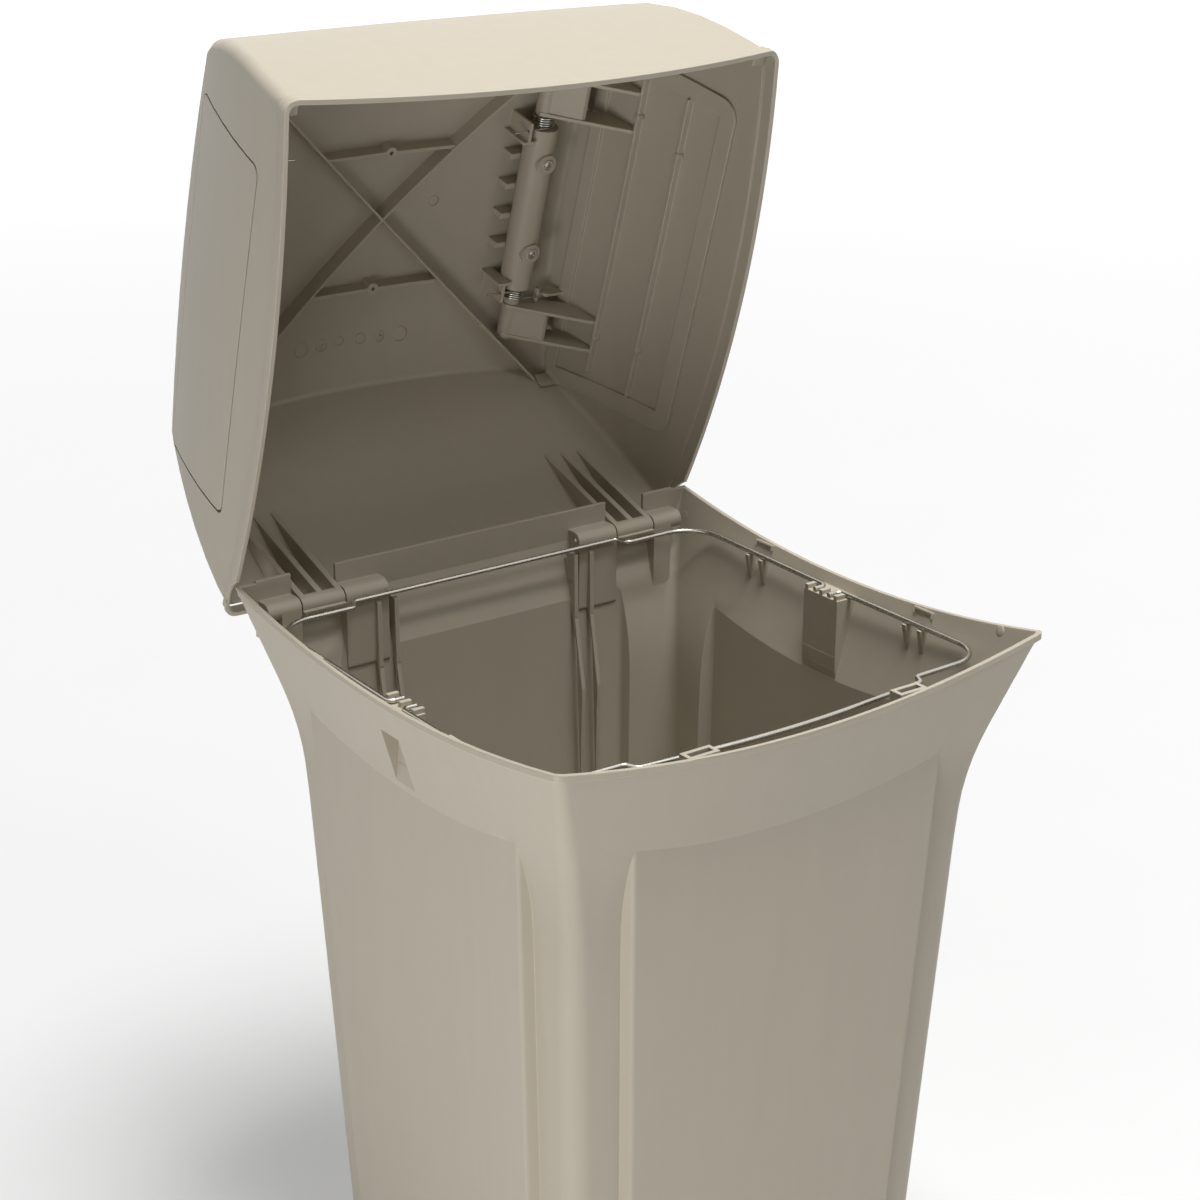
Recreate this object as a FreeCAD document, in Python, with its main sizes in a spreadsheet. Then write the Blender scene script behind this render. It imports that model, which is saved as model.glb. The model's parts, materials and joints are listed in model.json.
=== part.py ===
import FreeCAD, Part
import math
import os
from types import SimpleNamespace

import Sketcher

# Square litter container with a hinged hood. The hood stands open, as it does
# while a bag is changed, and each of its two sides has a swing door on springs.
# Origin: middle of the base, on the floor. Front is -Y, the hood's hinge runs along X.
# Heights of the hood's pieces are given for the closed hood, then turned open.

doc = FreeCAD.newDocument("SwingHoodContainer")
sheet = doc.addObject("Spreadsheet::Sheet", "Sizes")


class Size(float):
    """A number that also knows the expression it comes from."""

    def __new__(cls, value, text=None):
        made = float.__new__(cls, value)
        made.text = text if text is not None else repr(float(value))
        return made

    def __add__(self, other):
        return Size(float(self) + float(other), "(%s + %s)" % (self.text, words(other)))

    def __sub__(self, other):
        return Size(float(self) - float(other), "(%s - %s)" % (self.text, words(other)))

    def __mul__(self, other):
        return Size(float(self) * float(other), "(%s * %s)" % (self.text, words(other)))

    def __truediv__(self, other):
        return Size(float(self) / float(other), "(%s / %s)" % (self.text, words(other)))

    def __pow__(self, other):
        return Size(float(self) ** float(other), "(%s ^ %s)" % (self.text, words(other)))

    def __neg__(self):
        return Size(-float(self), "(-%s)" % self.text)


def words(value):
    return value.text if isinstance(value, Size) else repr(float(value))


def sine(angle):
    return Size(math.sin(math.radians(angle)), "sin(%s)" % angle.text)


def cosine(angle):
    return Size(math.cos(math.radians(angle)), "cos(%s)" % angle.text)


ZERO = Size(0)
ONE = Size(1)
EIGHTH = Size(45)

# Driving dimensions, in millimetres and degrees
TABLE = {
    # tub
    "tubHeight": 790,
    "rimHalf": 273,
    "rimDip": 29,
    "backHalf": 264,
    "bandHeight": 6,
    "bandFoot": 3,
    "flareTopHalf": 270.5,
    "kneeDepth": 141,
    "kneeHalf": 232,
    "kneeReach": 46,
    "kneeSteps": 7,
    "leastBulge": 0.3,
    "baseHalf": 203,
    "tubWall": 4,
    "floorWall": 5,
    "cornerRadius": 21,
    "rimCorner": 8,
    "panelRise": 12.5,
    "panelBaseHalf": 151,
    "panelTopHalf": 177,
    "panelSlope": 6,
    "panelEdge": 4,
    "panelSink": 4,
    "panelTopDepth": 60,
    "overrun": 40,
    # grip notch and bag wire brackets
    "notchTopDepth": 64,
    "notchFootDepth": 119,
    "notchHalf": 15,
    "notchFootHalf": 16,
    "notchPlane": 243.2,
    "bracketHalf": 25,
    "bracketFoot": 244,
    "bracketWall": 266,
    "finPitch": 21.5,
    "finThick": 4.5,
    "finInner": 240,
    "finOuter": 251.5,
    "finRise": 5,
    "restPlace": 109,
    "restPitch": 21,
    "restThick": 5,
    "restInner": 251,
    "restLength": 27,
    # bag wires
    "wireRadius": 2.4,
    "wireDepth": 38,
    "wireTilt": 1.2,
    "wireEnd": 10.5,
    "wireSide": 256,
    "wireCorner": 38,
    "wireFrontCorner": 216,
    "wireFrontJog": 219,
    "wireFrontEdge": 231,
    "wireFrontMid": 245,
    "wireBackCorner": 222,
    "wireBackMid": 236,
    "wireJog": 160,
    "wireJogRun": 6,
    "wireBend": 6,
    "wireBow": 900,
    "wireTip": 1,
    "wireGap": 0.3,
    # front clips
    "clipPlace": 118,
    "clipHalf": 16,
    "clipInner": 252,
    "clipOuter": 267,
    "clipTop": 24,
    "clipHeight": 15,
    "clipWall": 4,
    # hinge
    "hingeY": 249,
    "hingeDrop": 30,
    "openAngle": 73,
    "barrelRadius": 9.5,
    "barrelInner": 165.5,
    "barrelOuter": 212.5,
    "knuckleGap": 1.5,
    "knuckleInner": 116,
    "knuckleOuter": 250,
    "pinRadius": 4,
    "pinFit": 0.08,
    "pinHead": 6,
    "pinHeadLength": 2.5,
    "pinTip": 1,
    "slotDepth": 45,
    "hingeRibThick": 6,
    "hingeRibHeight": 110,
    "gussetLength": 105,
    "gussetOuter": 236,
    "stopReach": 12.5,
    "stopThick": 4,
    "backRibInner": 107,
    "backRibPitch": 20,
    "backRibThick": 4.5,
    "backRibFace": 246,
    "backRibDeep": 10,
    "backRibTop": 48,
    "backRibLength": 260,
    # hood
    "hoodWall": 3.5,
    "hoodGap": 1,
    "hoodFoot": 269.5,
    "hoodKnee": 218,
    "hoodLevelTop": 200,
    "hoodLevels": 6,
    "hoodTop": 264,
    "sideLean": 39,
    "sidePower": 1.7,
    "frontLean": 42.5,
    "frontPower": 3.6,
    "backLean": 71,
    "backPower": 1.15,
    "hoodBulge": 1.5,
    "hoodCorner": 11,
    "lipHeight": 8,
    "lipStep": 15,
    "lipRise": 1.75,
    "lipRebate": 1.2,
    "crownHeight": 254,
    "crownDrop": 18,
    "crownHalfX": 231,
    "crownHalfY": 205,
    "crownMidY": -12,
    "crownEdge": 10,
    "crownSweep": 44,
    "xRibThick": 3.5,
    "xRibDeep": 18,
    "xRibMid": -7,
    "xRibReach": 260,
    "crossRibFront": -82,
    "crossRibBack": 73,
    "crossRibHalf": 76,
    "crossRibDeep": 15,
    "bossRadius": 6.5,
    "bossHole": 2.2,
    "tabReach": 14,
    "tabRise": 12,
    # doors
    "doorFront": -189,
    "doorFrontLean": 2,
    "doorBack": 186.5,
    "doorBackLean": 10.5,
    "doorLow": 39,
    "doorHigh": 207,
    "doorCorner": 12,
    "doorGap": 2,
    "doorFootGap": 3,
    "flangeGap": 0.4,
    "flangeThick": 3,
    "flangeReach": 9,
    "flangeTop": 3,
    "flangeInner": 210,
    "doorRibHigh": 152,
    "doorRibLow": 93,
    "doorRibDeep": 6.9,
    "doorRibThick": 3,
    # door pivots
    "pivotX": 171,
    "pivotZ": 218,
    "journalRadius": 7,
    "journalFront": -166,
    "journalBack": 149,
    "armHub": 10,
    "armThick": 3.5,
    "armFoot": 152,
    "armFootX": 236,
    "armShoulder": 192,
    "armShoulderX": 240,
    "armPlace1": -160,
    "armPlace2": -118,
    "armPlace3": 108,
    "armPlace4": 143,
    "armFit": 0.05,
    "armWebWide": 5,
    "armWebShare": 0.42,
    "spindleRadius": 17,
    "spindleMidY": -8.5,
    "spindleHalf": 93.3,
    "springSeat": 9,
    "saddlePitch": 34.7,
    "saddleThick": 6,
    "saddleInner": 144,
    "saddleOuter": 200,
    "saddleRise": 8,
    "saddleSeat": 0.3,
    "screwMidY": -13.3,
    "screwRadius": 2,
    "screwFit": 0.1,
    "screwHead": 4.4,
    "screwHeadHeight": 2.8,
    "screwTop": 240,
    "screwTip": 0.5,
    "padRadius": 11,
    "padRise": 3,
    "collarRadius": 6.5,
    "collarRise": 1.5,
    "holderRadius": 6.5,
    "postX": 147,
    "postHalf": 7,
    "postReach": 13,
    "postTail": 9,
    "postThick": 3,
    "postFoot": 203,
    "legHole": 1.8,
    "springFrontY": -103.8,
    "springBackY": 87.5,
    "springWire": 1,
    "springMean": 11.2,
    "springPitch": 2.5,
    "springTurns": 4,
    "springHoodLeg": 42,
    "springDoorLeg": 30,
    "finX": 196,
    "finThickness": 3,
    "finTop": 214,
    "finRoot": 204,
    "finHalf": 8,
}

for row, (name, value) in enumerate(TABLE.items(), start=1):
    sheet.set("A%d" % row, name)
    sheet.set("B%d" % row, repr(value))
    sheet.setAlias("B%d" % row, name)
doc.recompute()
d = SimpleNamespace(**{name: Size(value, "Sizes." + name) for name, value in TABLE.items()})

PLANES = {"XY": "XY_Plane", "XZ": "XZ_Plane", "YZ": "YZ_Plane"}


def bind(item, place, size):
    """Set a property to a size, and tie it to the sheet when it comes from there."""
    if isinstance(size, Size) and "Sizes" in size.text:
        item.setExpression(place, size.text)
    else:
        target, _, last = place.rpartition(".")
        if target == "Placement.Base":
            base = item.Placement.Base
            setattr(base, last, float(size))
            item.Placement.Base = base
        else:
            setattr(item, place, float(size))


def basePlane(body, role):
    for feature in body.Origin.OriginFeatures:
        if feature.Role == role:
            return feature


def corner(x, y, radius=None):
    return {"at": (x, y), "radius": radius}


def via(x, y):
    return {"via": (x, y)}


def vector(point):
    return FreeCAD.Vector(float(point[0]), float(point[1]), 0)


def holdPoint(sketch, geometry, end, point):
    """Fix one point of the sketch at two named distances from its origin."""
    for kind, value in (("DistanceX", point[0]), ("DistanceY", point[1])):
        index = sketch.addConstraint(
            Sketcher.Constraint(kind, -1, 1, geometry, end, float(value))
        )
        if "Sizes" in words(value):
            sketch.setExpression("Constraints[%d]" % index, words(value))


def addArc(sketch, first, middle, last):
    """Add an arc; sketches keep arcs anticlockwise, so its ends may be swapped."""
    if (middle - first).cross(last - first).z > 0:
        return sketch.addGeometry(Part.Arc(first, middle, last)), (1, 2)
    return sketch.addGeometry(Part.Arc(last, middle, first)), (2, 1)


def drawOutline(sketch, steps, closed=True):
    """Draw an outline of corners; a corner may be rounded, a side may be an arc."""
    points = [step for step in steps if "at" in step]
    arcs = {}
    seen = -1
    for step in steps:
        if "at" in step:
            seen += 1
        else:
            arcs[seen] = step["via"]
    count = len(points)
    starts, ends = [None] * count, [None] * count
    for i, step in enumerate(points):
        here = vector(step["at"])
        starts[i] = ends[i] = here
        if step["radius"] is not None:
            before = vector(points[i - 1]["at"]) - here
            after = vector(points[(i + 1) % count]["at"]) - here
            half = before.getAngle(after) / 2
            reach = float(step["radius"]) / math.tan(half)
            ends[i] = here + FreeCAD.Vector(before).normalize() * reach
            starts[i] = here + FreeCAD.Vector(after).normalize() * reach
    sides, tips = [], []
    for i in range(count if closed else count - 1):
        a, b = starts[i], ends[(i + 1) % count]
        if i in arcs:
            side, tip = addArc(sketch, a, vector(arcs[i]), b)
        else:
            side, tip = sketch.addGeometry(Part.LineSegment(a, b)), (1, 2)
        sides.append(side)
        tips.append(tip)
    for i, step in enumerate(points):
        if not closed and i == 0:
            holdPoint(sketch, sides[0], tips[0][0], step["at"])
            continue
        if not closed and i == count - 1:
            holdPoint(sketch, sides[-1], tips[-1][1], step["at"])
            continue
        last, this = sides[i - 1], sides[i]
        lastEnd, thisStart = tips[i - 1][1], tips[i][0]
        if step["radius"] is None:
            sketch.addConstraint(
                Sketcher.Constraint("Coincident", last, lastEnd, this, thisStart)
            )
            holdPoint(sketch, this, thisStart, step["at"])
            continue
        here = vector(step["at"])
        inward = (starts[i] - here).normalize() + (ends[i] - here).normalize()
        half = (starts[i] - here).getAngle(ends[i] - here) / 2
        center = here + inward.normalize() * (float(step["radius"]) / math.sin(half))
        middle = center + (here - center).normalize() * float(step["radius"])
        bend, (bendIn, bendOut) = addArc(sketch, ends[i], middle, starts[i])
        sketch.addConstraint(Sketcher.Constraint("Tangent", last, lastEnd, bend, bendIn))
        sketch.addConstraint(
            Sketcher.Constraint("Tangent", bend, bendOut, this, thisStart)
        )
        index = sketch.addConstraint(
            Sketcher.Constraint("Radius", bend, float(step["radius"]))
        )
        if "Sizes" in words(step["radius"]):
            sketch.setExpression("Constraints[%d]" % index, words(step["radius"]))
        mark = sketch.addGeometry(Part.Point(here))
        sketch.toggleConstruction(mark)
        sketch.addConstraint(Sketcher.Constraint("PointOnObject", mark, 1, last))
        sketch.addConstraint(Sketcher.Constraint("PointOnObject", mark, 1, this))
        holdPoint(sketch, mark, 1, step["at"])
    for i, through in arcs.items():
        mark = sketch.addGeometry(Part.Point(vector(through)))
        sketch.toggleConstruction(mark)
        sketch.addConstraint(Sketcher.Constraint("PointOnObject", mark, 1, sides[i]))
        holdPoint(sketch, mark, 1, through)


def newSketch(body, plane, steps, offset=ZERO, closed=True):
    sketch = body.newObject("Sketcher::SketchObject", body.Name + "Sketch")
    sketch.AttachmentSupport = [(basePlane(body, PLANES[plane]), "")]
    sketch.MapMode = "FlatFace"
    if float(offset):
        if "Sizes" in offset.text:
            sketch.setExpression("AttachmentOffset.Base.z", offset.text)
        else:
            sketch.AttachmentOffset = FreeCAD.Placement(
                FreeCAD.Vector(0, 0, float(offset)), FreeCAD.Rotation()
            )
    drawOutline(sketch, steps, closed)
    return sketch


def prism(name, plane, steps, low, high):
    """A padded outline between two distances along the plane's normal axis."""
    body = doc.addObject("PartDesign::Body", name)
    # the XZ plane looks along -Y, so its distances change sign
    start = -high if plane == "XZ" else low
    sketch = newSketch(body, plane, steps, start)
    pad = body.newObject("PartDesign::Pad", name + "Pad")
    pad.Profile = sketch
    bind(pad, "Length", high - low)
    return body


def turned(name, plane, steps, axisHeight, sweep=30):
    """An outline swept a little way round a level axis well above or below it."""
    body = doc.addObject("PartDesign::Body", name)
    sketch = newSketch(body, plane, steps)
    line = sketch.addGeometry(
        Part.LineSegment(
            FreeCAD.Vector(-1, float(axisHeight), 0), FreeCAD.Vector(1, float(axisHeight), 0)
        )
    )
    sketch.toggleConstruction(line)
    sketch.addConstraint(Sketcher.Constraint("Horizontal", line))
    index = sketch.addConstraint(
        Sketcher.Constraint("DistanceY", -1, 1, line, 1, float(axisHeight))
    )
    sketch.setExpression("Constraints[%d]" % index, axisHeight.text)
    round_ = body.newObject("PartDesign::Revolution", name + "Sweep")
    round_.Profile = sketch
    round_.ReferenceAxis = (sketch, ["Axis0"])
    round_.Midplane = True
    round_.Angle = sweep
    return body


def lofted(name, sections):
    """A skin through level outlines, given as (height, outline)."""
    body = doc.addObject("PartDesign::Body", name)
    sketches = [newSketch(body, "XY", steps, height) for height, steps in sections]
    loft = body.newObject("PartDesign::AdditiveLoft", name + "Loft")
    loft.Profile = sketches[0]
    loft.Sections = sketches[1:]
    loft.Ruled = True
    return body


def box(name, x, y, z):
    item = doc.addObject("Part::Box", name)
    for place, size in zip(("Length", "Width", "Height"), (x, y, z)):
        bind(item, place, size[1] - size[0])
    for place, size in zip("xyz", (x, y, z)):
        bind(item, "Placement.Base." + place, size[0])
    return item


AXES = {
    "X": FreeCAD.Rotation(FreeCAD.Vector(0, 1, 0), 90),
    "Y": FreeCAD.Rotation(FreeCAD.Vector(1, 0, 0), -90),
    "Z": FreeCAD.Rotation(),
}


def rod(name, axis, at, length, radius):
    """A cylinder from one end point along an axis."""
    item = doc.addObject("Part::Cylinder", name)
    bind(item, "Radius", radius)
    bind(item, "Height", length)
    item.Placement = FreeCAD.Placement(FreeCAD.Vector(), AXES[axis])
    for place, size in zip("xyz", at):
        bind(item, "Placement.Base." + place, size)
    return item


def fuse(name, items):
    item = doc.addObject("Part::MultiFuse", name)
    item.Refine = False
    item.Shapes = items
    return item


def common(name, items):
    item = doc.addObject("Part::MultiCommon", name)
    item.Refine = False
    item.Shapes = items
    return item


def cut(name, base, tool):
    item = doc.addObject("Part::Cut", name)
    item.Refine = False
    item.Base = base
    item.Tool = tool
    return item


def mirrored(name, source):
    item = doc.addObject("Part::Mirroring", name)
    item.Source = source
    item.Normal = (1, 0, 0)
    item.Base = (0, 0, 0)
    return item


def rounded(name, source, radius, wanted):
    """Round the edges of a finished shape that pass the test."""
    doc.recompute()
    item = doc.addObject("Part::Fillet", name)
    item.Base = source
    edges = [i for i, edge in enumerate(source.Shape.Edges, start=1) if wanted(edge)]
    item.Edges = [(i, float(radius), float(radius)) for i in edges]
    return item


def both(items, mirror):
    return items + [mirrored(item.Name + "Twin", item) for item in items]


H = d.tubHeight
rimLow = H - d.rimDip
saddleRadius = (d.rimHalf * d.rimHalf + d.rimDip * d.rimDip) / (d.rimDip * 2)
flareTop = d.bandHeight + d.bandFoot
flareSlope = (d.flareTopHalf - d.kneeHalf) / (d.kneeDepth - flareTop)
bodySlope = (d.kneeHalf - d.baseHalf) / (H - d.kneeDepth)
hingeZ = H - d.hingeDrop


def tubHalf(depth):
    """Half width of the tub at a depth below its local rim: draft, knee, flare."""
    above = d.kneeDepth - depth
    if float(above) <= -float(d.kneeReach):
        return d.kneeHalf + bodySlope * above
    if float(above) >= float(d.kneeReach):
        return d.kneeHalf + flareSlope * above
    climb = above + d.kneeReach
    bend = (flareSlope - bodySlope) * climb * climb / (d.kneeReach * 4)
    return d.kneeHalf + bodySlope * above + bend


def ring(side, front, back, radius, bulges):
    """A square outline with round corners and slightly bowed sides."""
    cut45 = radius * (ONE - sine(EIGHTH))
    bulgeSide, bulgeFront, bulgeBack = bulges
    middle = (back - front) / 2
    return [
        corner(side, -front + radius),
        via(side + bulgeSide, middle),
        corner(side, back - radius),
        via(side - cut45, back - cut45),
        corner(side - radius, back),
        via(ZERO, back + bulgeBack),
        corner(-side + radius, back),
        via(-side + cut45, back - cut45),
        corner(-side, back - radius),
        via(-side - bulgeSide, middle),
        corner(-side, -front + radius),
        via(-side + cut45, -front + cut45),
        corner(-side + radius, -front),
        via(ZERO, -front - bulgeFront),
        corner(side - radius, -front),
        via(side - cut45, -front + cut45),
    ]


def tubForm(prefix, inset, top):
    """The tub's outside or inside, its corners tighter towards the rim."""
    low = H - d.kneeDepth - d.kneeReach - d.rimDip
    step = (d.kneeReach * 2 + d.rimDip) / d.kneeSteps
    heights = [-d.overrun]
    heights += [low + step * i for i in range(int(d.kneeSteps) + 1)]
    heights += [top]
    sections = []
    for height in heights:
        half = tubHalf(H - height) - inset
        bulge = tubHalf(rimLow - height) - inset - half + d.leastBulge
        radius = d.cornerRadius - inset
        if float(height) > float(low):
            radius = radius - (d.cornerRadius - d.rimCorner) * ((height - low) / (top - low))
        sections.append((height, ring(half, half, half, radius, (bulge, bulge, d.leastBulge))))
    return lofted(prefix + "Form", sections)


def saddleBlock(prefix, depth):
    """Everything below the dipped rim line, lowered by a depth."""
    wide = d.rimHalf + d.overrun
    top = rimLow - depth
    low = -d.overrun * 2
    sides = turned(
        prefix + "Sides",
        "XZ",
        [corner(-wide, low), corner(wide, low), corner(wide, top), corner(-wide, top)],
        rimLow + saddleRadius,
    )
    front = turned(
        prefix + "Front",
        "YZ",
        [corner(-wide, low), corner(wide, low), corner(wide, H + d.overrun)]
        + [corner(-d.baseHalf, H + d.overrun), corner(-d.baseHalf, top), corner(-wide, top)],
        rimLow + saddleRadius,
    )
    return common(prefix, [sides, front])


def panelCross(prefix, inset, low):
    """The four raised panels as one cross with sloping flanks."""

    def outline(height, half):
        face = d.baseHalf + d.panelRise - inset + bodySlope * height
        flank = half - inset
        foot = face - d.panelRise - d.panelSink
        wide = flank + d.panelSlope
        edge = d.panelEdge
        right = [(face, -flank, edge), (face, flank, edge), (foot, wide, None)]
        right += [(wide, foot, None), (flank, face, edge)]
        left = [(-x, y, bend) for x, y, bend in right[::-1]]
        lower = [(-foot, -wide, None), (-wide, -foot, None), (-flank, -face, edge)]
        lower += [(flank, -face, edge), (wide, -foot, None), (foot, -wide, None)]
        return [corner(*point) for point in right + left + lower]

    top = H - d.panelTopDepth
    return lofted(
        prefix, [(low, outline(low, d.panelBaseHalf)), (top, outline(top, d.panelTopHalf))]
    )


# Container body: flared tub with a dipped rim, raised panels and a straight back wall
outerForm = tubForm("tubOuter", ZERO, H + d.overrun)
innerForm = tubForm("tubInner", d.tubWall, H + d.overrun)
bandBlank = prism(
    "bandBlank",
    "XY",
    [
        corner(d.rimHalf, -d.rimHalf, d.rimCorner),
        corner(d.rimHalf, d.backHalf, d.rimCorner),
        corner(-d.rimHalf, d.backHalf, d.rimCorner),
        corner(-d.rimHalf, -d.rimHalf, d.rimCorner),
    ],
    H - d.panelTopDepth,
    H,
)
band = cut(
    "rimBand",
    common("rimBandTop", [bandBlank, saddleBlock("rimLine", ZERO)]),
    saddleBlock("bandLine", d.bandHeight),
)
outerCross = panelCross("panelsOuter", ZERO, ZERO)
innerCross = panelCross("panelsInner", d.tubWall, d.floorWall)
wide = d.rimHalf + d.overrun
behind = box("behindTub", (-wide, wide), (d.backHalf, d.backHalf + wide), (H / 2, H + wide))
behindInside = box(
    "behindHollow",
    (-wide, wide),
    (d.backHalf - d.tubWall, d.backHalf + wide),
    (H / 2, H + wide),
)
backTop = box(
    "backTop",
    (-d.rimHalf + d.cornerRadius, d.rimHalf - d.cornerRadius),
    (d.backHalf - d.tubWall, d.backHalf),
    (H - d.rimDip * 2, H),
)
trimmed = common("tubTrimmed", [cut("tubFlared", outerForm, behind), saddleBlock("topLine", ZERO)])
tubSolid = fuse("tubSolid", [trimmed, outerCross, band, backTop])
tubHollow = fuse("tubHollow", [cut("tubInside", innerForm, behindInside), innerCross])
under = box("underFloor", (-wide, wide), (-wide, wide), (-d.overrun * 2, ZERO))
floorFill = box("floorFill", (-wide, wide), (-wide, wide), (-d.overrun * 2, d.floorWall))
tubBasin = cut("tubBasin", cut("tubStanding", tubSolid, under), cut("tubAbove", tubHollow, floorFill))


def wedge(name, top, foot, inner, wall, footWall, y):
    """A wedge on the right-hand wall that carries something on its flat top."""
    steps = [corner(inner, top), corner(wall, top), corner(footWall, foot)]
    return prism(name, "XZ", steps, y[0], y[1])


wireZ = H - d.wireDepth
restTop = wireZ - d.wireRadius - d.wireGap


def wireRest(place, side):
    """A thin wedge under a bag wire; the rear wire climbs a little towards the back."""
    climb = (place - d.wireEnd) * sine(d.wireTilt) if side > 0 else ZERO
    y = place if side > 0 else -place
    return wedge(
        "wireRest%d" % len(doc.Objects),
        restTop + climb,
        restTop - d.restLength,
        d.restInner,
        d.bracketWall,
        d.bracketWall - d.restLength / 3,
        (y - d.restThick / 2, y + d.restThick / 2),
    )


bracket = prism(
    "wireBracket",
    "XZ",
    [
        corner(d.finInner, restTop),
        corner(d.bracketWall, restTop),
        corner(d.bracketFoot, H - d.notchFootDepth),
        corner(d.finInner, H - d.notchFootDepth + d.tubWall),
    ],
    -d.bracketHalf,
    d.bracketHalf,
)
fins = []
for i in (-1, 0, 1):
    middle = d.finPitch * i
    fins.append(
        box(
            "wireFin%d" % (i + 2),
            (d.finInner, d.finOuter),
            (middle - d.finThick / 2, middle + d.finThick / 2),
            (restTop - d.finRise, wireZ + d.wireRadius),
        )
    )
rests = [wireRest(d.restPlace + d.restPitch * i, side) for i in (0, 1) for side in (-1, 1)]
notch = prism(
    "gripNotch",
    "YZ",
    [
        corner(-d.notchHalf, H - d.notchTopDepth),
        corner(-d.notchFootHalf, H - d.notchFootDepth),
        corner(d.notchFootHalf, H - d.notchFootDepth),
        corner(d.notchHalf, H - d.notchTopDepth),
    ],
    d.notchPlane,
    d.notchPlane + d.overrun,
)


def knuckle(name, inner, outer, radius):
    """A hinge eye on the back wall, with the block that carries it."""
    eye = rod(name + "Eye", "X", (inner, d.hingeY, hingeZ), outer - inner, radius)
    block = box(
        name + "Block",
        (inner, outer),
        (d.hingeY, d.backHalf - d.tubWall / 2),
        (hingeZ - radius, hingeZ + radius),
    )
    steps = [
        corner(d.hingeY - radius, hingeZ),
        corner(d.backHalf - d.tubWall / 2, hingeZ),
        corner(tubHalf(d.gussetLength) - d.tubWall / 2, H - d.gussetLength),
    ]
    edge = outer if float(outer) < float(d.gussetOuter) else d.gussetOuter
    return [eye, block, prism(name + "Gusset", "YZ", steps, inner, edge)]


eyes = knuckle("innerKnuckle", d.knuckleInner, d.barrelInner - d.knuckleGap, d.barrelRadius)
eyes += knuckle("outerKnuckle", d.barrelOuter + d.knuckleGap, d.knuckleOuter, d.barrelRadius)
slot = box(
    "hingeSlot",
    (d.barrelInner - d.knuckleGap, d.barrelOuter + d.knuckleGap),
    (d.hingeY - d.barrelRadius * 2, d.backHalf + d.overrun),
    (H - d.slotDepth, H + d.overrun),
)
pinBore = rod(
    "knucklePinBore",
    "X",
    (d.knuckleInner - d.overrun, d.hingeY, hingeZ),
    d.knuckleOuter - d.knuckleInner + d.overrun * 2,
    d.pinRadius + d.pinFit,
)
backRibs = []
for i in (0, 1):
    start = d.backRibInner + d.backRibPitch * i
    low = d.backRibTop + d.backRibLength
    steps = [
        corner(d.backRibFace, H - d.backRibTop),
        corner(d.backRibFace + d.backRibDeep, H - d.backRibTop),
        corner(d.kneeHalf, H - d.kneeDepth),
        corner(d.kneeHalf - bodySlope * (low - d.kneeDepth), H - low),
        corner(d.kneeHalf - d.backRibDeep, H - d.kneeDepth - d.kneeReach),
    ]
    backRibs.append(prism("backRib%d" % (i + 1), "YZ", steps, start, start + d.backRibThick))
clip = box(
    "clipBlock",
    (d.clipPlace - d.clipHalf, d.clipPlace + d.clipHalf),
    (-d.clipOuter, -d.clipInner),
    (H - d.clipTop - d.clipHeight, H - d.clipTop),
)
clipHole = box(
    "clipHole",
    (d.clipPlace - d.clipHalf + d.clipWall, d.clipPlace + d.clipHalf - d.clipWall),
    (-d.clipOuter + d.clipWall, -d.clipInner - d.clipWall),
    (H - d.clipTop - d.clipHeight - d.overrun, H - d.clipTop + d.overrun),
)
clipLoop = cut("frontClip", clip, clipHole)
extras = [bracket] + fins + rests + eyes + [clipLoop] + backRibs
# cut the pin bores, hinge slots and grip notches on both sides
removals = fuse("tubRemovals", both([notch, slot, pinBore], True))
tubFull = fuse("tubFull", [tubBasin] + both(extras, True))
containerBody = cut("container_body", tubFull, removals)

# Hood: a tapering shell under a crowned top, modelled closed over the tub


def hoodHalf(lean, power, height):
    return d.hoodFoot - lean * (height / d.hoodKnee) ** power


def hoodRing(height, inset, grow=ZERO):
    """A level outline of the hood at a height above the rim."""
    up = height if float(height) > 0 else ZERO
    side = hoodHalf(d.sideLean, d.sidePower, up) - inset + grow
    front = hoodHalf(d.frontLean, d.frontPower, up) - inset + grow
    back = hoodHalf(d.backLean, d.backPower, up) - inset + grow
    bulge = d.hoodBulge
    return (H + height, ring(side, front, back, d.hoodCorner - inset + grow, (bulge,) * 3))


def crownBlock(name, drop):
    """Everything below the gently domed top, lowered by a depth."""
    wide = d.rimHalf + d.overrun
    edge = wide / d.crownHalfX
    top = H + d.crownHeight - drop
    shoulder = top - d.crownDrop * edge * edge
    curve = d.crownHalfY * d.crownHalfY / (d.crownDrop * 2)
    block = turned(
        name,
        "XZ",
        [
            corner(-wide, H - d.overrun),
            corner(wide, H - d.overrun),
            corner(wide, shoulder),
            via(ZERO, top),
            corner(-wide, shoulder),
        ],
        H + d.crownHeight - curve,
        d.crownSweep,
    )
    block.setExpression("Placement.Base.y", d.crownMidY.text)
    return block


def hoodForm(prefix, inset, edgeRadius=None):
    """The hood's outside or inside, from below its rim to the crown."""
    step = d.hoodLevelTop / d.hoodLevels
    sections = [hoodRing(-d.overrun, inset)]
    sections += [hoodRing(step * i, inset) for i in range(int(d.hoodLevels) + 1)]
    sections += [hoodRing(d.hoodTop, inset)]
    form = common(prefix + "Crowned", [lofted(prefix + "Walls", sections), crownBlock(prefix + "Crown", inset)])
    if edgeRadius is None:
        return form

    def isTopEdge(edge):
        box = edge.BoundBox
        level = max(box.XLength, box.YLength) > box.ZLength
        return level and edge.CenterOfMass.z > H + d.hoodLevelTop

    return rounded(prefix + "Form", form, edgeRadius, isTopEdge)


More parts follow.
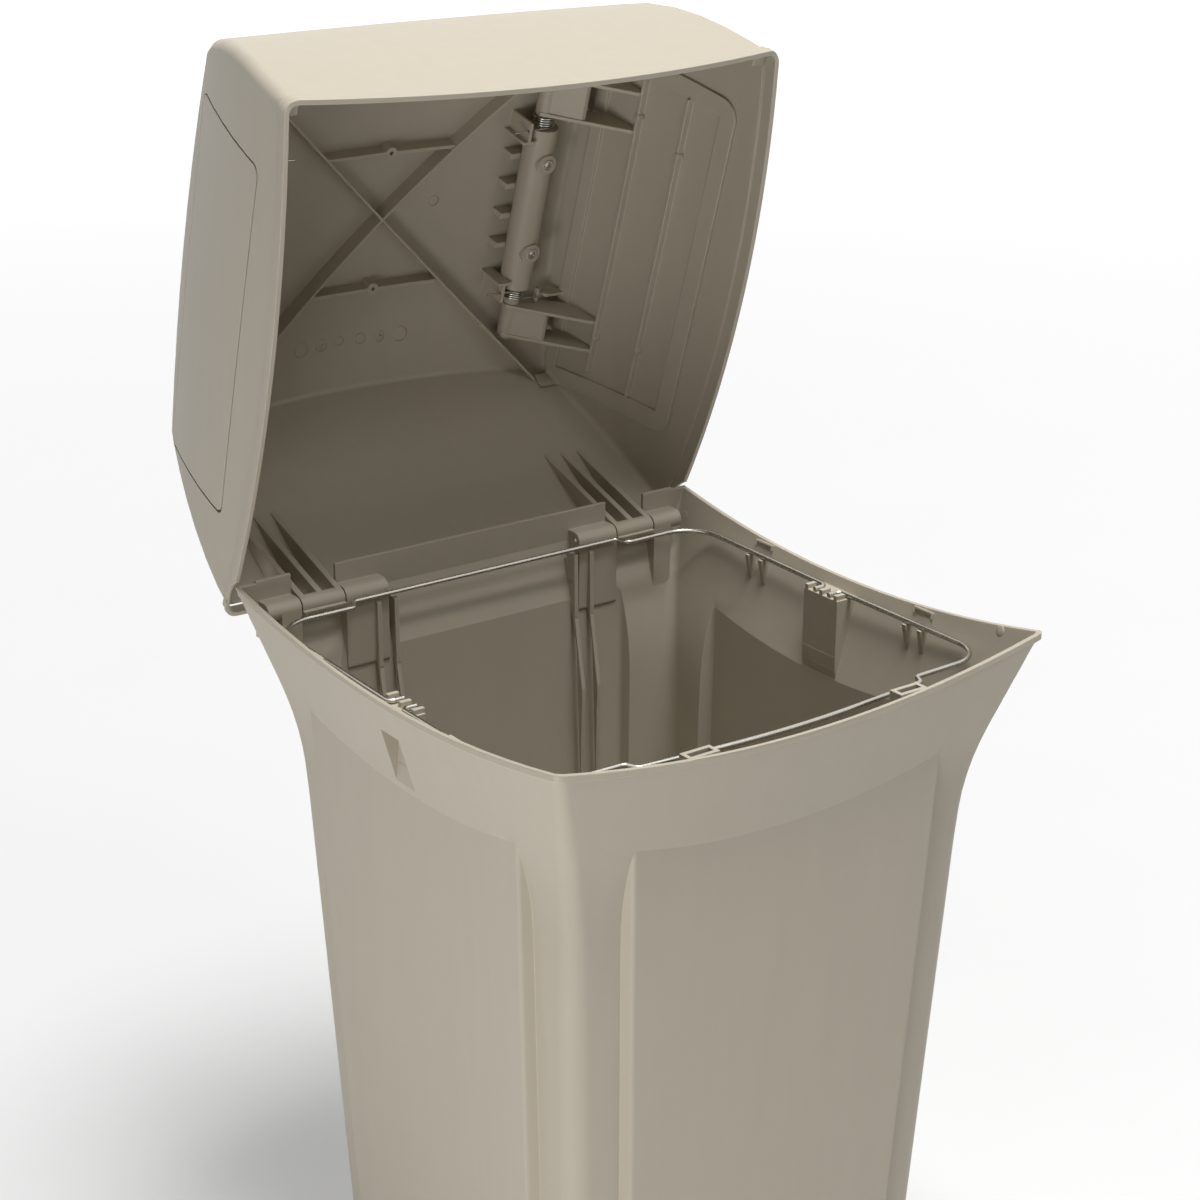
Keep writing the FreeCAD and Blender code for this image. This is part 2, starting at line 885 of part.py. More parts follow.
def lipBlock(prefix, grow, height):
    """One step of the band round the hood's foot."""
    sections = [hoodRing(-d.overrun, ZERO, grow), hoodRing(ZERO, ZERO, grow)]
    top, last = hoodRing(ZERO, ZERO, grow)
    sections.append((top + d.overrun, last))
    walls = lofted(prefix + "Walls", sections)
    return common(prefix, [walls, saddleBlock(prefix + "Top", -(d.hoodGap + height))])


def doorOutline(grow, growFoot, growTop):
    front, back = d.doorFront - grow, d.doorBack + grow
    low, high = H + d.doorLow - growFoot, H + d.doorHigh + growTop
    radius = d.doorCorner + grow
    return [
        corner(front - d.doorFrontLean, low, radius),
        corner(back - d.doorBackLean, low, radius),
        corner(back + d.doorBackLean, high, radius),
        corner(front + d.doorFrontLean, high, radius),
    ]


def doorPrism(name, grow, growFoot, growTop, inner):
    wide = d.rimHalf + d.overrun
    return prism(name, "YZ", doorOutline(grow, growFoot, growTop), inner, wide)


hoodOuter = hoodForm("hoodOuter", ZERO, d.crownEdge)
hoodInner = hoodForm("hoodInner", d.hoodWall, d.crownEdge - d.hoodWall)
lips = [
    lipBlock("lipLow", d.lipRise * 2, d.lipHeight),
    lipBlock("lipHigh", d.lipRise, d.lipStep),
]
rebate = lipBlock("lipRebate", -d.lipRebate, d.lipStep)
hoodSpace = fuse("hoodSpace", [hoodInner, rebate])
hoodBlank = cut("hoodBlank", fuse("hoodSolid", [hoodOuter] + lips), hoodSpace)
wide = d.rimHalf + d.overrun
# the hood's foot stays clear of the tub's back edge while it swings round the pins
edgeReach = ((d.backHalf - d.hingeY) ** 2 + d.hingeDrop ** 2) ** 0.5
backFoot = box(
    "hoodBackFoot",
    (-wide, wide),
    (d.hingeY, wide),
    (H - d.overrun, hingeZ + edgeReach + d.hoodGap),
)
hingeRelief = rod(
    "hingeRelief", "X", (-wide, d.hingeY, hingeZ), wide * 2, edgeReach + d.hoodGap
)
doorway = prism("doorway", "YZ", doorOutline(ZERO, ZERO, ZERO), -wide, wide)
hoodOpen = cut(
    "hoodOpen",
    hoodBlank,
    fuse("hoodCuts", [saddleBlock("hoodFoot", -d.hoodGap), backFoot, hingeRelief, doorway]),
)


def strip(name, x0, x1, slope, low, high):
    """A thin upright wall along a slanting line through the crown's middle."""
    half = d.xRibThick / 2
    y0 = d.xRibMid + x0 * slope
    y1 = d.xRibMid + x1 * slope
    steps = [corner(x0, y0 - half), corner(x1, y1 - half), corner(x1, y1 + half), corner(x0, y0 + half)]
    return prism(name, "XY", steps, low, high)


# ribs under the crown: a large X, two cross ribs and their bosses
ribLow, ribHigh = H + d.hoodLevelTop, H + d.crownHeight
xRibs = [
    strip("xRibRising", -d.xRibReach, d.xRibReach, ONE, ribLow, ribHigh),
    strip("xRibFalling", -d.xRibReach, d.xRibReach, -ONE, ribLow, ribHigh),
]
crossRibs, bossHoles = [], []
for label, place in (("Front", d.crossRibFront), ("Back", d.crossRibBack)):
    crossRibs.append(
        box(
            "crossRib" + label,
            (-d.crossRibHalf, d.crossRibHalf),
            (place - d.xRibThick / 2, place + d.xRibThick / 2),
            (ribLow, ribHigh),
        )
    )
    boss = rod("boss" + label, "Z", (ZERO, place, ribLow), ribHigh - ribLow, d.bossRadius)
    crossRibs.append(boss)
    deep = ribHigh - ribLow - d.hoodWall * 3
    bossHoles.append(rod("bossHole" + label, "Z", (ZERO, place, ribLow), deep, d.bossHole))
holderZone = hoodForm("holderZone", d.hoodWall / 2)
xZone = cut("xRibZone", holderZone, crownBlock("xRibUnderside", d.hoodWall + d.xRibDeep))
crossUnder = crownBlock("crossRibUnderside", d.hoodWall + d.crossRibDeep)
crossZone = cut("crossRibZone", holderZone, crossUnder)
crownRibs = common("crownXRibs", [fuse("xRibSheets", xRibs), xZone])
middleRibs = common("crownCrossRibs", [fuse("crossRibSheets", crossRibs), crossZone])

# saddles that the pivot spindles seat in, screw bosses and spring posts
pivotZ = H + d.pivotZ
saddleRod = rod(
    "saddleSeat",
    "Y",
    (d.pivotX, d.spindleMidY - d.spindleHalf * 2, pivotZ),
    d.spindleHalf * 4,
    d.spindleRadius + d.saddleSeat,
)
saddles = []
for i in range(4):
    middle = d.screwMidY + d.saddlePitch * (i - 1.5)
    saddles.append(
        box(
            "saddle%d" % (i + 1),
            (d.saddleInner, d.saddleOuter),
            (middle - d.saddleThick / 2, middle + d.saddleThick / 2),
            (pivotZ + d.saddleRise, ribHigh),
        )
    )
screwYs = [d.screwMidY - d.saddlePitch * 1.5, d.screwMidY + d.saddlePitch * 1.5]
bosses = [
    rod(
        "screwBoss%d" % (i + 1),
        "Z",
        (d.pivotX, y, pivotZ + d.saddleRise),
        ribHigh - pivotZ - d.saddleRise,
        d.holderRadius,
    )
    for i, y in enumerate(screwYs)
]
# the fixed leg of each spring runs through a hole in its post
legZ = pivotZ - d.springMean
legShift = (d.pivotX - d.postX) * d.springPitch / (d.springMean * 2 * math.pi)
posts, legHoles = [], []
for label, y, side in (("Front", d.springFrontY, -1), ("Back", d.springBackY, 1)):
    near, far = y - d.postReach * side, y + d.postTail * side
    low, high = (near, far) if side > 0 else (far, near)
    foot = H + d.postFoot
    posts.append(
        box(
            "springPost" + label,
            (d.postX - d.postThick / 2, d.postX + d.postThick / 2),
            (low, high),
            (foot, ribHigh),
        )
    )
    posts.append(
        box(
            "springPostFlange" + label,
            (d.postX - d.postHalf, d.postX + d.postHalf),
            (near - d.postThick / 2, near + d.postThick / 2),
            (foot, ribHigh),
        )
    )
    at = (d.postX - d.postHalf / 2, y - legShift * side, legZ)
    legHoles.append(rod("legHole" + label, "X", at, d.postHalf, d.legHole))
holders = cut(
    "spindleHolders",
    fuse("holderBlocks", saddles + bosses + posts),
    fuse("holderCuts", [saddleRod] + legHoles),
)
heldParts = common("spindleHolding", [holders, holderZone])
padFace = pivotZ - d.spindleRadius - d.padRise - d.collarRise
screwHoles = [
    rod(
        "screwHole%d" % (i + 1),
        "Z",
        (d.pivotX, y, padFace - d.overrun),
        H + d.screwTop + d.screwTip - padFace + d.overrun,
        d.screwRadius + d.screwFit,
    )
    for i, y in enumerate(screwYs)
]

# hinge barrels, their ribs up the back wall and the stop bar
barrel = rod(
    "hingeBarrel",
    "X",
    (d.barrelInner, d.hingeY, hingeZ),
    d.barrelOuter - d.barrelInner,
    d.barrelRadius,
)


def backInside(height):
    return hoodHalf(d.backLean, d.backPower, height) - d.hoodWall / 2


hingeRibs = []
ribTop, ribWaist = d.hingeRibHeight, d.hingeRibHeight / 2
for i in range(3):
    start = d.barrelInner + (d.barrelOuter - d.barrelInner - d.hingeRibThick) * i / 2
    steps = [
        corner(d.hingeY - d.barrelRadius, hingeZ),
        corner(d.hingeY + d.barrelRadius, hingeZ),
        corner(backInside(ZERO), H + d.hoodGap * 2),
        corner(backInside(ribWaist), H + ribWaist),
        corner(backInside(ribTop), H + ribTop),
    ]
    hingeRibs.append(prism("hingeRib%d" % (i + 1), "YZ", steps, start, start + d.hingeRibThick))
stop = box(
    "stopBar",
    (d.barrelInner, d.barrelOuter),
    (d.hingeY, d.hingeY + d.stopThick),
    (hingeZ - d.stopReach, hingeZ),
)
hingeBore = rod(
    "barrelPinBore",
    "X",
    (d.barrelInner - d.overrun, d.hingeY, hingeZ),
    d.barrelOuter - d.barrelInner + d.overrun * 2,
    d.pinRadius + d.pinFit,
)
tabInner = d.hoodFoot - d.hoodWall - d.tabReach
cornerTab = box(
    "cornerTab",
    (tabInner, d.hoodFoot),
    (-d.hoodFoot, -tabInner),
    (H + d.tabRise, H + d.tabRise + d.xRibThick),
)
tabTrimmed = common("cornerTabTrimmed", [cornerTab, holderZone])
hoodParts = both([heldParts, barrel] + hingeRibs + [stop, tabTrimmed], True)
hoodFull = fuse("hoodFull", [hoodOpen, crownRibs, middleRibs] + hoodParts)
hoodBores = fuse("hoodBores", both([hingeBore] + screwHoles, True) + bossHoles)
hoodShell = cut("hoodShell", hoodFull, hoodBores)

# Swing door: a panel with a rim behind the hood's wall, two ribs and four arms
facing = hoodForm("doorFace", ZERO)
behindWall = hoodForm("flangeFace", d.hoodWall + d.flangeGap)
flangeBack = hoodForm("flangeBack", d.hoodWall + d.flangeGap + d.flangeThick)
panelBack = hoodForm("panelBack", d.hoodWall)
ribBack = hoodForm("doorRibBack", d.hoodWall + d.doorRibDeep)
leafEdge = doorPrism("leafEdge", -d.doorGap, -d.doorFootGap, -d.doorGap, d.flangeInner)
leaf = common("doorLeaf", [facing, leafEdge])
flange = common(
    "doorFlange",
    [
        behindWall,
        doorPrism("flangeEdge", d.flangeReach, d.flangeReach, d.flangeTop, d.flangeInner),
    ],
)
recess = common(
    "doorRecess",
    [
        panelBack,
        doorPrism(
            "recessEdge",
            -d.doorGap - d.flangeReach,
            -d.doorFootGap - d.flangeReach,
            -d.doorGap - d.flangeReach,
            d.barrelInner - d.overrun,
        ),
    ],
)
doorHollow = fuse("doorHollow", [flangeBack, recess])
doorPlate = cut("doorPlate", fuse("doorBlock", [leaf, flange]), doorHollow)
doorRibs = []
for label, height in (("High", d.doorRibHigh), ("Low", d.doorRibLow)):
    doorRibs.append(
        box(
            "doorRib" + label,
            (d.pivotX, d.pivotX + d.rimHalf),
            (d.doorFront + d.flangeReach, d.doorBack - d.flangeReach * 2),
            (H + height - d.doorRibThick / 2, H + height + d.doorRibThick / 2),
        )
    )
armOutline = [
    corner(d.pivotX - d.armHub / 2, H + d.pivotZ - d.armHub),
    corner(d.pivotX - d.armHub, H + d.pivotZ - d.armHub / 2),
    corner(d.pivotX - d.armHub, H + d.pivotZ + d.armHub / 3),
    corner(d.pivotX - d.armHub / 3, H + d.pivotZ + d.armHub),
    corner(d.pivotX + d.armHub, H + d.pivotZ + d.armHub * 0.8),
    corner(d.armShoulderX, H + d.armShoulder),
    corner(d.armShoulderX + d.overrun, H + d.armFoot),
    corner(d.armFootX, H + d.armFoot),
]
arms = []
for i, place in enumerate((d.armPlace1, d.armPlace2, d.armPlace3, d.armPlace4)):
    arms.append(
        prism(
            "doorArm%d" % (i + 1),
            "XZ",
            armOutline,
            place - d.armThick / 2,
            place + d.armThick / 2,
        )
    )
# each pair of arms is joined by a tube round its journal and a web along its lower edge
webShare = d.armWebShare
webStart = (d.pivotX - d.armHub / 2, H + d.pivotZ - d.journalRadius)
webEnd = (
    webStart[0] + (d.armFootX - webStart[0]) * webShare,
    webStart[1] + (H + d.armFoot - webStart[1]) * webShare,
)
webOutline = [
    corner(*webStart),
    corner(*webEnd),
    corner(webEnd[0] + d.armWebWide, webEnd[1]),
    corner(webStart[0] + d.armWebWide, webStart[1]),
]
for label, low, high in (("Front", d.armPlace1, d.armPlace2), ("Back", d.armPlace3, d.armPlace4)):
    arms.append(rod("armTube" + label, "Y", (d.pivotX, low, pivotZ), high - low, d.armHub))
    arms.append(prism("armWeb" + label, "XZ", webOutline, low, high))
ribsTrimmed = cut(
    "doorRibsTrimmed", common("doorRibsInside", [fuse("doorRibSheets", doorRibs), facing]), ribBack
)
# a fin on the door rests on the free leg of each spring
springFins = []
finFoot = legZ + d.springWire + d.flangeGap
finClear = d.pivotX + d.springDoorLeg + d.finThickness
finOutline = [
    corner(d.finX, finFoot),
    corner(d.finX, H + d.finTop),
    corner(d.finX + d.overrun, H + d.finTop),
    corner(d.finX + d.overrun, H + d.finRoot),
    corner(finClear + d.finThickness, H + d.finRoot),
    corner(finClear, finFoot),
]
for label, start, side in (("Front", d.springFrontY, -1), ("Back", d.springBackY, 1)):
    y = start + d.springPitch * d.springTurns * side
    half = d.finThickness / 2
    springFins.append(prism("springFin" + label, "XZ", finOutline, y - half, y + half))
    springFins.append(
        box(
            "springFinEnd" + label,
            (d.finX, d.finX + d.finThickness),
            (y - d.finHalf, y + d.finHalf),
            (finFoot, H + d.finTop),
        )
    )
armsTrimmed = common("doorArmsTrimmed", [fuse("doorArms", arms), holderZone])
finsTrimmed = common("springFinsTrimmed", [fuse("springFins", springFins), behindWall])
armBore = rod(
    "armBore",
    "Y",
    (d.pivotX, d.journalFront - d.overrun, pivotZ),
    d.journalBack - d.journalFront + d.overrun * 2,
    d.journalRadius + d.armFit,
)
doorWhole = fuse("doorWhole", [doorPlate, ribsTrimmed, armsTrimmed, finsTrimmed])
rightDoor = cut("rightDoor", doorWhole, armBore)

# Pivot spindle: a thick middle in the saddles, spring seats and a journal at each end
seatFront = d.armPlace2 + d.armThick / 2 + d.wireGap
seatBack = d.armPlace3 - d.armThick / 2 - d.wireGap
spindleSteps = [
    rod(
        "spindleMiddle",
        "Y",
        (d.pivotX, d.spindleMidY - d.spindleHalf, pivotZ),
        d.spindleHalf * 2,
        d.spindleRadius,
    ),
    rod("spindleSeats", "Y", (d.pivotX, seatFront, pivotZ), seatBack - seatFront, d.springSeat),
    rod(
        "spindleJournals",
        "Y",
        (d.pivotX, d.journalFront, pivotZ),
        d.journalBack - d.journalFront,
        d.journalRadius,
    ),
]
spindleCuts = []
for i, y in enumerate(screwYs):
    pad = pivotZ - d.spindleRadius - d.padRise
    spindleSteps.append(
        rod("screwPad%d" % (i + 1), "Z", (d.pivotX, y, pad), pivotZ - pad, d.padRadius)
    )
    spindleSteps.append(
        rod("screwCollar%d" % (i + 1), "Z", (d.pivotX, y, padFace), pivotZ - padFace, d.collarRadius)
    )
    spindleCuts.append(
        rod(
            "spindleHole%d" % (i + 1),
            "Z",
            (d.pivotX, y, padFace - d.overrun),
            pivotZ + d.spindleRadius * 2 - padFace + d.overrun,
            d.screwRadius + d.screwFit,
        )
    )
    spindleCuts.append(
        rod(
            "headRecess%d" % (i + 1),
            "Z",
            (d.pivotX, y, padFace - d.overrun),
            d.overrun + d.screwHeadHeight,
            d.screwHead + d.screwFit,
        )
    )
rightSpindle = cut(
    "rightSpindle", fuse("spindleBlank", spindleSteps), fuse("spindleBores", spindleCuts)
)

# Screws, from below through the spindle into the crown's bosses
screws = []
for i, y in enumerate(screwYs):
    at = (d.pivotX, y, padFace)
    shank = rod("screwShank%d" % (i + 1), "Z", at, H + d.screwTop - padFace, d.screwRadius)
    head = rod("screwHead%d" % (i + 1), "Z", at, d.screwHeadHeight, d.screwHead)
    screws.append(fuse("screw%d" % (i + 1), [shank, head]))
rightScrews = doc.addObject("Part::Compound", "rightScrews")
rightScrews.Links = screws

# Hinge pins, each with a head at its outer end
pinShank = rod(
    "pinShank",
    "X",
    (d.knuckleInner - d.pinTip, d.hingeY, hingeZ),
    d.knuckleOuter - d.knuckleInner + d.pinTip * 2,
    d.pinRadius,
)
pinCap = rod(
    "pinCap", "X", (d.knuckleOuter + d.wireGap, d.hingeY, hingeZ), d.pinHeadLength, d.pinHead
)
rightPin = fuse("rightPin", [pinShank, pinCap])


def biarc(start, along, end, onward):
    """Two arcs that join two points and follow the direction at each."""
    chord = end - start
    total = along + onward
    spread = 2 * (1 - along.dot(onward))
    reach = math.sqrt(chord.dot(total) ** 2 + spread * chord.dot(chord)) - chord.dot(total)
    reach = reach / spread
    join = (start + end + (along - onward) * reach) / 2
    arcs = []
    for first, last, bend in ((start, join, start + along * reach), (join, end, end - onward * reach)):
        middle = (first + last) / 2
        half = (last - first).Length / 2
        rise = bend - middle
        swell = half * math.tan(math.atan2(rise.Length, half) / 2)
        arcs.append(Part.Arc(first, middle + rise.normalize() * swell, last))
    return arcs


def doorSpring(name, startY, side):
    """A torsion spring: one leg under the hood's post, the turns, a leg to the door."""
    rate = side * d.springPitch / (2 * math.pi)
    first, last = -math.pi / 2, 2 * math.pi * (d.springTurns - 0.25)
    steps = math.ceil((last - first) / (math.pi / 2))

    def at(angle):
        y = startY + rate * (angle - first)
        x = d.pivotX + d.springMean * math.cos(angle)
        return FreeCAD.Vector(x, y, pivotZ + d.springMean * math.sin(angle))

    def heading(angle):
        radius = float(d.springMean)
        return FreeCAD.Vector(-radius * math.sin(angle), rate, radius * math.cos(angle)).normalize()

    angles = [first + (last - first) * i / steps for i in range(steps + 1)]
    tip = at(first) - heading(first) * float(d.springHoodLeg)
    foot = at(last) + heading(last) * float(d.springDoorLeg)
    curves = [Part.LineSegment(tip, at(first))]
    for a, b in zip(angles, angles[1:]):
        curves += biarc(at(a), heading(a), at(b), heading(b))
    curves.append(Part.LineSegment(at(last), foot))
    path = Part.Wire([curve.toShape() for curve in curves])
    circle = Part.makeCircle(float(d.springWire), tip, heading(first))
    shell = Part.BRepOffsetAPI.MakePipeShell(path)
    shell.add(Part.Wire(circle))
    shell.build()
    shell.makeSolid()
    spring = doc.addObject("Part::Feature", name)
    spring.Shape = shell.shape()
    points = path.discretize(600)
    apart = d.springMean * 2
    gap = min(
        points[i].distanceToPoint(points[j])
        for i in range(0, 600, 3)
        for j in range(i + 1, 600)
        if path.Length * (j - i) / 600 > apart
    )
    print(name, "least gap to itself %.2f mm" % (gap - 2 * d.springWire))
    return spring


frontSpring = doorSpring("frontSpring", d.springFrontY, -1)
backSpring = doorSpring("backSpring", d.springBackY, 1)


def bagWire(name, side, depth, corner1, jog, edge, middle):
    """A round wire: bent ends, straight sides, round corners and a stepped middle."""
    body = doc.addObject("PartDesign::Body", name)
    y = d.wireEnd * side
    half = [
        (d.finInner + d.wireTip, y, None),
        (d.wireSide, y, d.wireBend),
        (d.wireSide, corner1 * side, d.wireCorner),
        (d.wireJog + d.wireJogRun, jog * side, d.wireBend),
        (d.wireJog, edge * side, d.wireBend),
    ]
    route = [corner(x, y1, bend) for x, y1, bend in half]
    if middle is not None:
        route.append(corner(ZERO, middle * side, d.wireBow))
    route += [corner(-x, y1, bend) for x, y1, bend in half[::-1]]
    spine = newSketch(body, "XY", route, depth, closed=False)
    section = body.newObject("Sketcher::SketchObject", name + "Section")
    section.AttachmentSupport = [(basePlane(body, "YZ_Plane"), "")]
    section.MapMode = "FlatFace"
    section.setExpression("AttachmentOffset.Base.z", (d.finInner + d.wireTip).text)
    center = FreeCAD.Vector(float(y), float(depth), 0)
    circle = section.addGeometry(Part.Circle(center, FreeCAD.Vector(0, 0, 1), float(d.wireRadius)))
    index = section.addConstraint(Sketcher.Constraint("Radius", circle, float(d.wireRadius)))
    section.setExpression("Constraints[%d]" % index, d.wireRadius.text)
    holdPoint(section, circle, 3, (y, depth))
    pipe = body.newObject("PartDesign::AdditivePipe", name + "Pipe")
    pipe.Profile = section
    pipe.Spine = spine
    return body


frontWire = bagWire(
    "front_bag_wire",
    -1,
    wireZ,
    d.wireFrontCorner,
    d.wireFrontJog,
    d.wireFrontEdge,
    d.wireFrontMid,
)
rearWire = bagWire(
    "rear_bag_wire", 1, ZERO, d.wireBackCorner, d.wireBackCorner, d.wireBackMid, None
)
rearWire.setExpression(
    "Placement",
    "placement(vector(0; 0; %s); rotation(vector(1; 0; 0); Sizes.wireTilt); vector(0; %s; 0))"
    % (wireZ.text, d.wireEnd.text),
)

OPEN = (
    "placement(vector(0; 0; 0); rotation(vector(1; 0; 0); -Sizes.openAngle); vector(0; %s; %s))"
    % (d.hingeY.text, hingeZ.text)
)


def opened(name, item):
    """The finished piece, turned back with the open hood."""
    piece = doc.addObject("Part::Compound", name)
    piece.Links = [item]
    piece.setExpression("Placement", OPEN)
    return piece


nodes = {
    "container_body": containerBody,
    "right_hinge_pin": rightPin,
    "left_hinge_pin": mirrored("leftPin", rightPin),
    "front_bag_wire": frontWire,
    "rear_bag_wire": rearWire,
    "hood_shell": opened("hood_shell", hoodShell),
}
hung = {
    "door_panel": rightDoor,
    "pivot_spindle": rightSpindle,
    "spindle_screws": rightScrews,
    "front_door_spring": frontSpring,
    "back_door_spring": backSpring,
}
for name, item in hung.items():
    nodes["right_" + name] = opened("right_" + name, item)
    nodes["left_" + name] = opened("left_" + name, mirrored("left" + item.Name, item))

doc.recompute()
for item in doc.Objects:
    if "Invalid" in item.State or "Error" in item.State or item.State != ["Up-to-date"]:
        print("bad", item.Name, item.State)
os.makedirs("parts", exist_ok=True)
for name, item in nodes.items():
    shape = item.Shape
    item.Label = name
    assert not shape.isNull(), name
    assert shape.isValid(), name
    shape.exportStep("parts/%s.step" % name)
    print(name, "solids", len(shape.Solids), "volume", round(shape.Volume), "mm3")
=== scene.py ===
import json
import math

import bmesh
import bpy
from mathutils import Matrix, Vector
from mathutils.bvhtree import BVHTree


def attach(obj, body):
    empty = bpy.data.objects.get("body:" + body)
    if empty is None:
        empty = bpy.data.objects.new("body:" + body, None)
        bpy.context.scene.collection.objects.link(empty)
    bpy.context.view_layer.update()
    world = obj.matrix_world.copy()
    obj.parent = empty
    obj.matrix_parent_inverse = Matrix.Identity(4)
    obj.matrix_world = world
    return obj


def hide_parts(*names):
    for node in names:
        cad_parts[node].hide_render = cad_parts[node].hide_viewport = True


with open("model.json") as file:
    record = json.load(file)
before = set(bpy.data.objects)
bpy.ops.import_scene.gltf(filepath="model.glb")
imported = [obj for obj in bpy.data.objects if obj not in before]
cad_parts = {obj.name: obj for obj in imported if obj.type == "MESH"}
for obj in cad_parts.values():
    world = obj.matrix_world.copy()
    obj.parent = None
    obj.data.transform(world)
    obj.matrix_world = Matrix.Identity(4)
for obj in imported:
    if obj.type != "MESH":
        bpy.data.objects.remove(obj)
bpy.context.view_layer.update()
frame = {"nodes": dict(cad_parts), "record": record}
mm = 0.001  # metres

nodes = frame["nodes"]
sides = (("left", -1), ("right", 1))
print("frame loaded")


def hexColor(text):
    # sRGB hex to a linear colour
    channels = []
    for start in (0, 2, 4):
        value = int(text[start : start + 2], 16) / 255
        channels.append(value / 12.92 if value <= 0.04045 else ((value + 0.055) / 1.055) ** 2.4)
    return (*channels, 1.0)


def tinted(color, gain):
    # a linear colour made paler or deeper
    return tuple(min(1.0, channel * gain) for channel in color[:3]) + (1.0,)


def addNode(tree, kind, links=None, **settings):
    # links maps a socket's name or number to a value or to another node's output;
    # a kind without the word Node is a shader node's
    node = tree.nodes.new(kind if "Node" in kind else "ShaderNode" + kind)
    for key, value in settings.items():
        setattr(node, key, value)
    for socket, source in (links or {}).items():
        target = node.inputs[socket]
        if isinstance(source, bpy.types.NodeSocket):
            tree.links.new(source, target)
        else:
            target.default_value = source
    return node


def newMaterial(name):
    material = bpy.data.materials.new(name)
    material.use_nodes = True
    tree = material.node_tree
    tree.nodes.clear()
    return material, tree, tree.nodes.new("ShaderNodeOutputMaterial")


def perMetre(size):
    # noise scale for a pattern whose grains are this many millimetres
    return 1 / (size * mm)


# Container, hood and doors: injection-moulded polypropylene with a fine spark grain.
# To the eye it is satin and a little cloudy, and a painted highlight makes the colour paler along
# its rounded edges.
mouldedShell = {
    "color": "bbb2a1",
    "cloudSize": 140,
    "cloudDeep": 0.93,
    "cloudPale": 1.05,
    "speckSize": 7,
    "grainSize": 1.6,  # real grain is about 0.3 mm, drawn coarser so that it shows
    "grainDepth": 0.12,
    "grainStrength": 0.5,
    "roughness": 0.45,
    "smoother": 0.05,
    "rougher": 0.07,
    "edge": 1.6,
    # how much paler the painted edge highlight makes the colour
    "edgeHighlightGain": 1.3,
    "edgeSamples": 6,
    "highlightFrom": 0.98,  # cosine between the face and its rounded edge, where the painted edge highlight begins
    "highlightFull": 0.82,
    "streakLength": 160,
    "streakFineness": 9.0,  # times finer across than up
    "ior": 1.49,
    "specular": 0.45,
}


def mouldedPlastic(name, look):
    material, tree, output = newMaterial(name)
    place = addNode(tree, "TexCoord").outputs["Object"]
    cloud = addNode(
        tree, "TexNoise", {"Vector": place, "Scale": perMetre(look["cloudSize"]), "Detail": 4.0}
    )
    speck = addNode(
        tree, "TexNoise", {"Vector": place, "Scale": perMetre(look["speckSize"]), "Detail": 3.0}
    )
    base = hexColor(look["color"])
    paler = tinted(base, look["cloudPale"])
    deeper = tinted(base, look["cloudDeep"])
    clouded = addNode(
        tree, "Mix", {0: cloud.outputs["Fac"], 6: deeper, 7: paler}, data_type="RGBA"
    )
    flecked = addNode(
        tree,
        "Mix",
        {0: speck.outputs["Fac"], 6: clouded.outputs[2], 7: base},
        data_type="RGBA",
    )
    # flow marks run up the walls
    fine = look["streakFineness"]
    stretched = addNode(tree, "Mapping", {"Vector": place, "Scale": (fine, fine, 1.0)})
    flow = addNode(
        tree,
        "TexNoise",
        {"Vector": stretched.outputs[0], "Scale": perMetre(look["streakLength"]), "Detail": 3.0},
    )
    streaked = addNode(
        tree,
        "Mix",
        {0: flow.outputs["Fac"], 6: flecked.outputs[2], 7: deeper},
        data_type="RGBA",
    )
    # slightly rounded edges, with a painted highlight: the colour turns paler where the rounded
    # normal leans away from the face
    rounded = addNode(
        tree, "Bevel", {"Radius": look["edge"] * mm}, samples=look["edgeSamples"]
    )
    flat = addNode(tree, "NewGeometry").outputs["Normal"]
    across = addNode(
        tree, "VectorMath", {0: rounded.outputs["Normal"], 1: flat}, operation="DOT_PRODUCT"
    )
    edgeHighlight = addNode(
        tree,
        "MapRange",
        {0: across.outputs["Value"], 1: look["highlightFrom"], 2: look["highlightFull"], 3: 0.0, 4: 1.0},
    )
    # the painted highlight's colour, paler than the plastic
    bright = tinted(base, look["edgeHighlightGain"])
    highlightedEdges = addNode(
        tree,
        "Mix",
        {0: edgeHighlight.outputs[0], 6: streaked.outputs[2], 7: bright},
        data_type="RGBA",
    )
    grain = addNode(
        tree, "TexNoise", {"Vector": place, "Scale": perMetre(look["grainSize"]), "Detail": 2.0}
    )
    bumped = addNode(
        tree,
        "Bump",
        {
            "Height": grain.outputs["Fac"],
            "Normal": rounded.outputs["Normal"],
            "Strength": look["grainStrength"],
            "Distance": look["grainDepth"] * mm,
        },
    )
    smoothest = look["roughness"] - look["smoother"]
    roughest = look["roughness"] + look["rougher"]
    rough = addNode(tree, "MapRange", {0: cloud.outputs["Fac"], 3: smoothest, 4: roughest})
    shader = addNode(
        tree,
        "BsdfPrincipled",
        {
            "Base Color": highlightedEdges.outputs[2],
            "Roughness": rough.outputs[0],
            "Normal": bumped.outputs["Normal"],
            "IOR": look["ior"],
            "Specular IOR Level": look["specular"],
        },
    )
    tree.links.new(shader.outputs[0], output.inputs[0])
    return material


# Zinc on steel: dull clouds, and streaks that change the shine more than the height
plating = {
    "cloudDeep": 0.74,
    "smoother": 0.08,
    "rougher": 0.12,
    "streakStrength": 0.08,
    "streakDepth": 0.02,
}


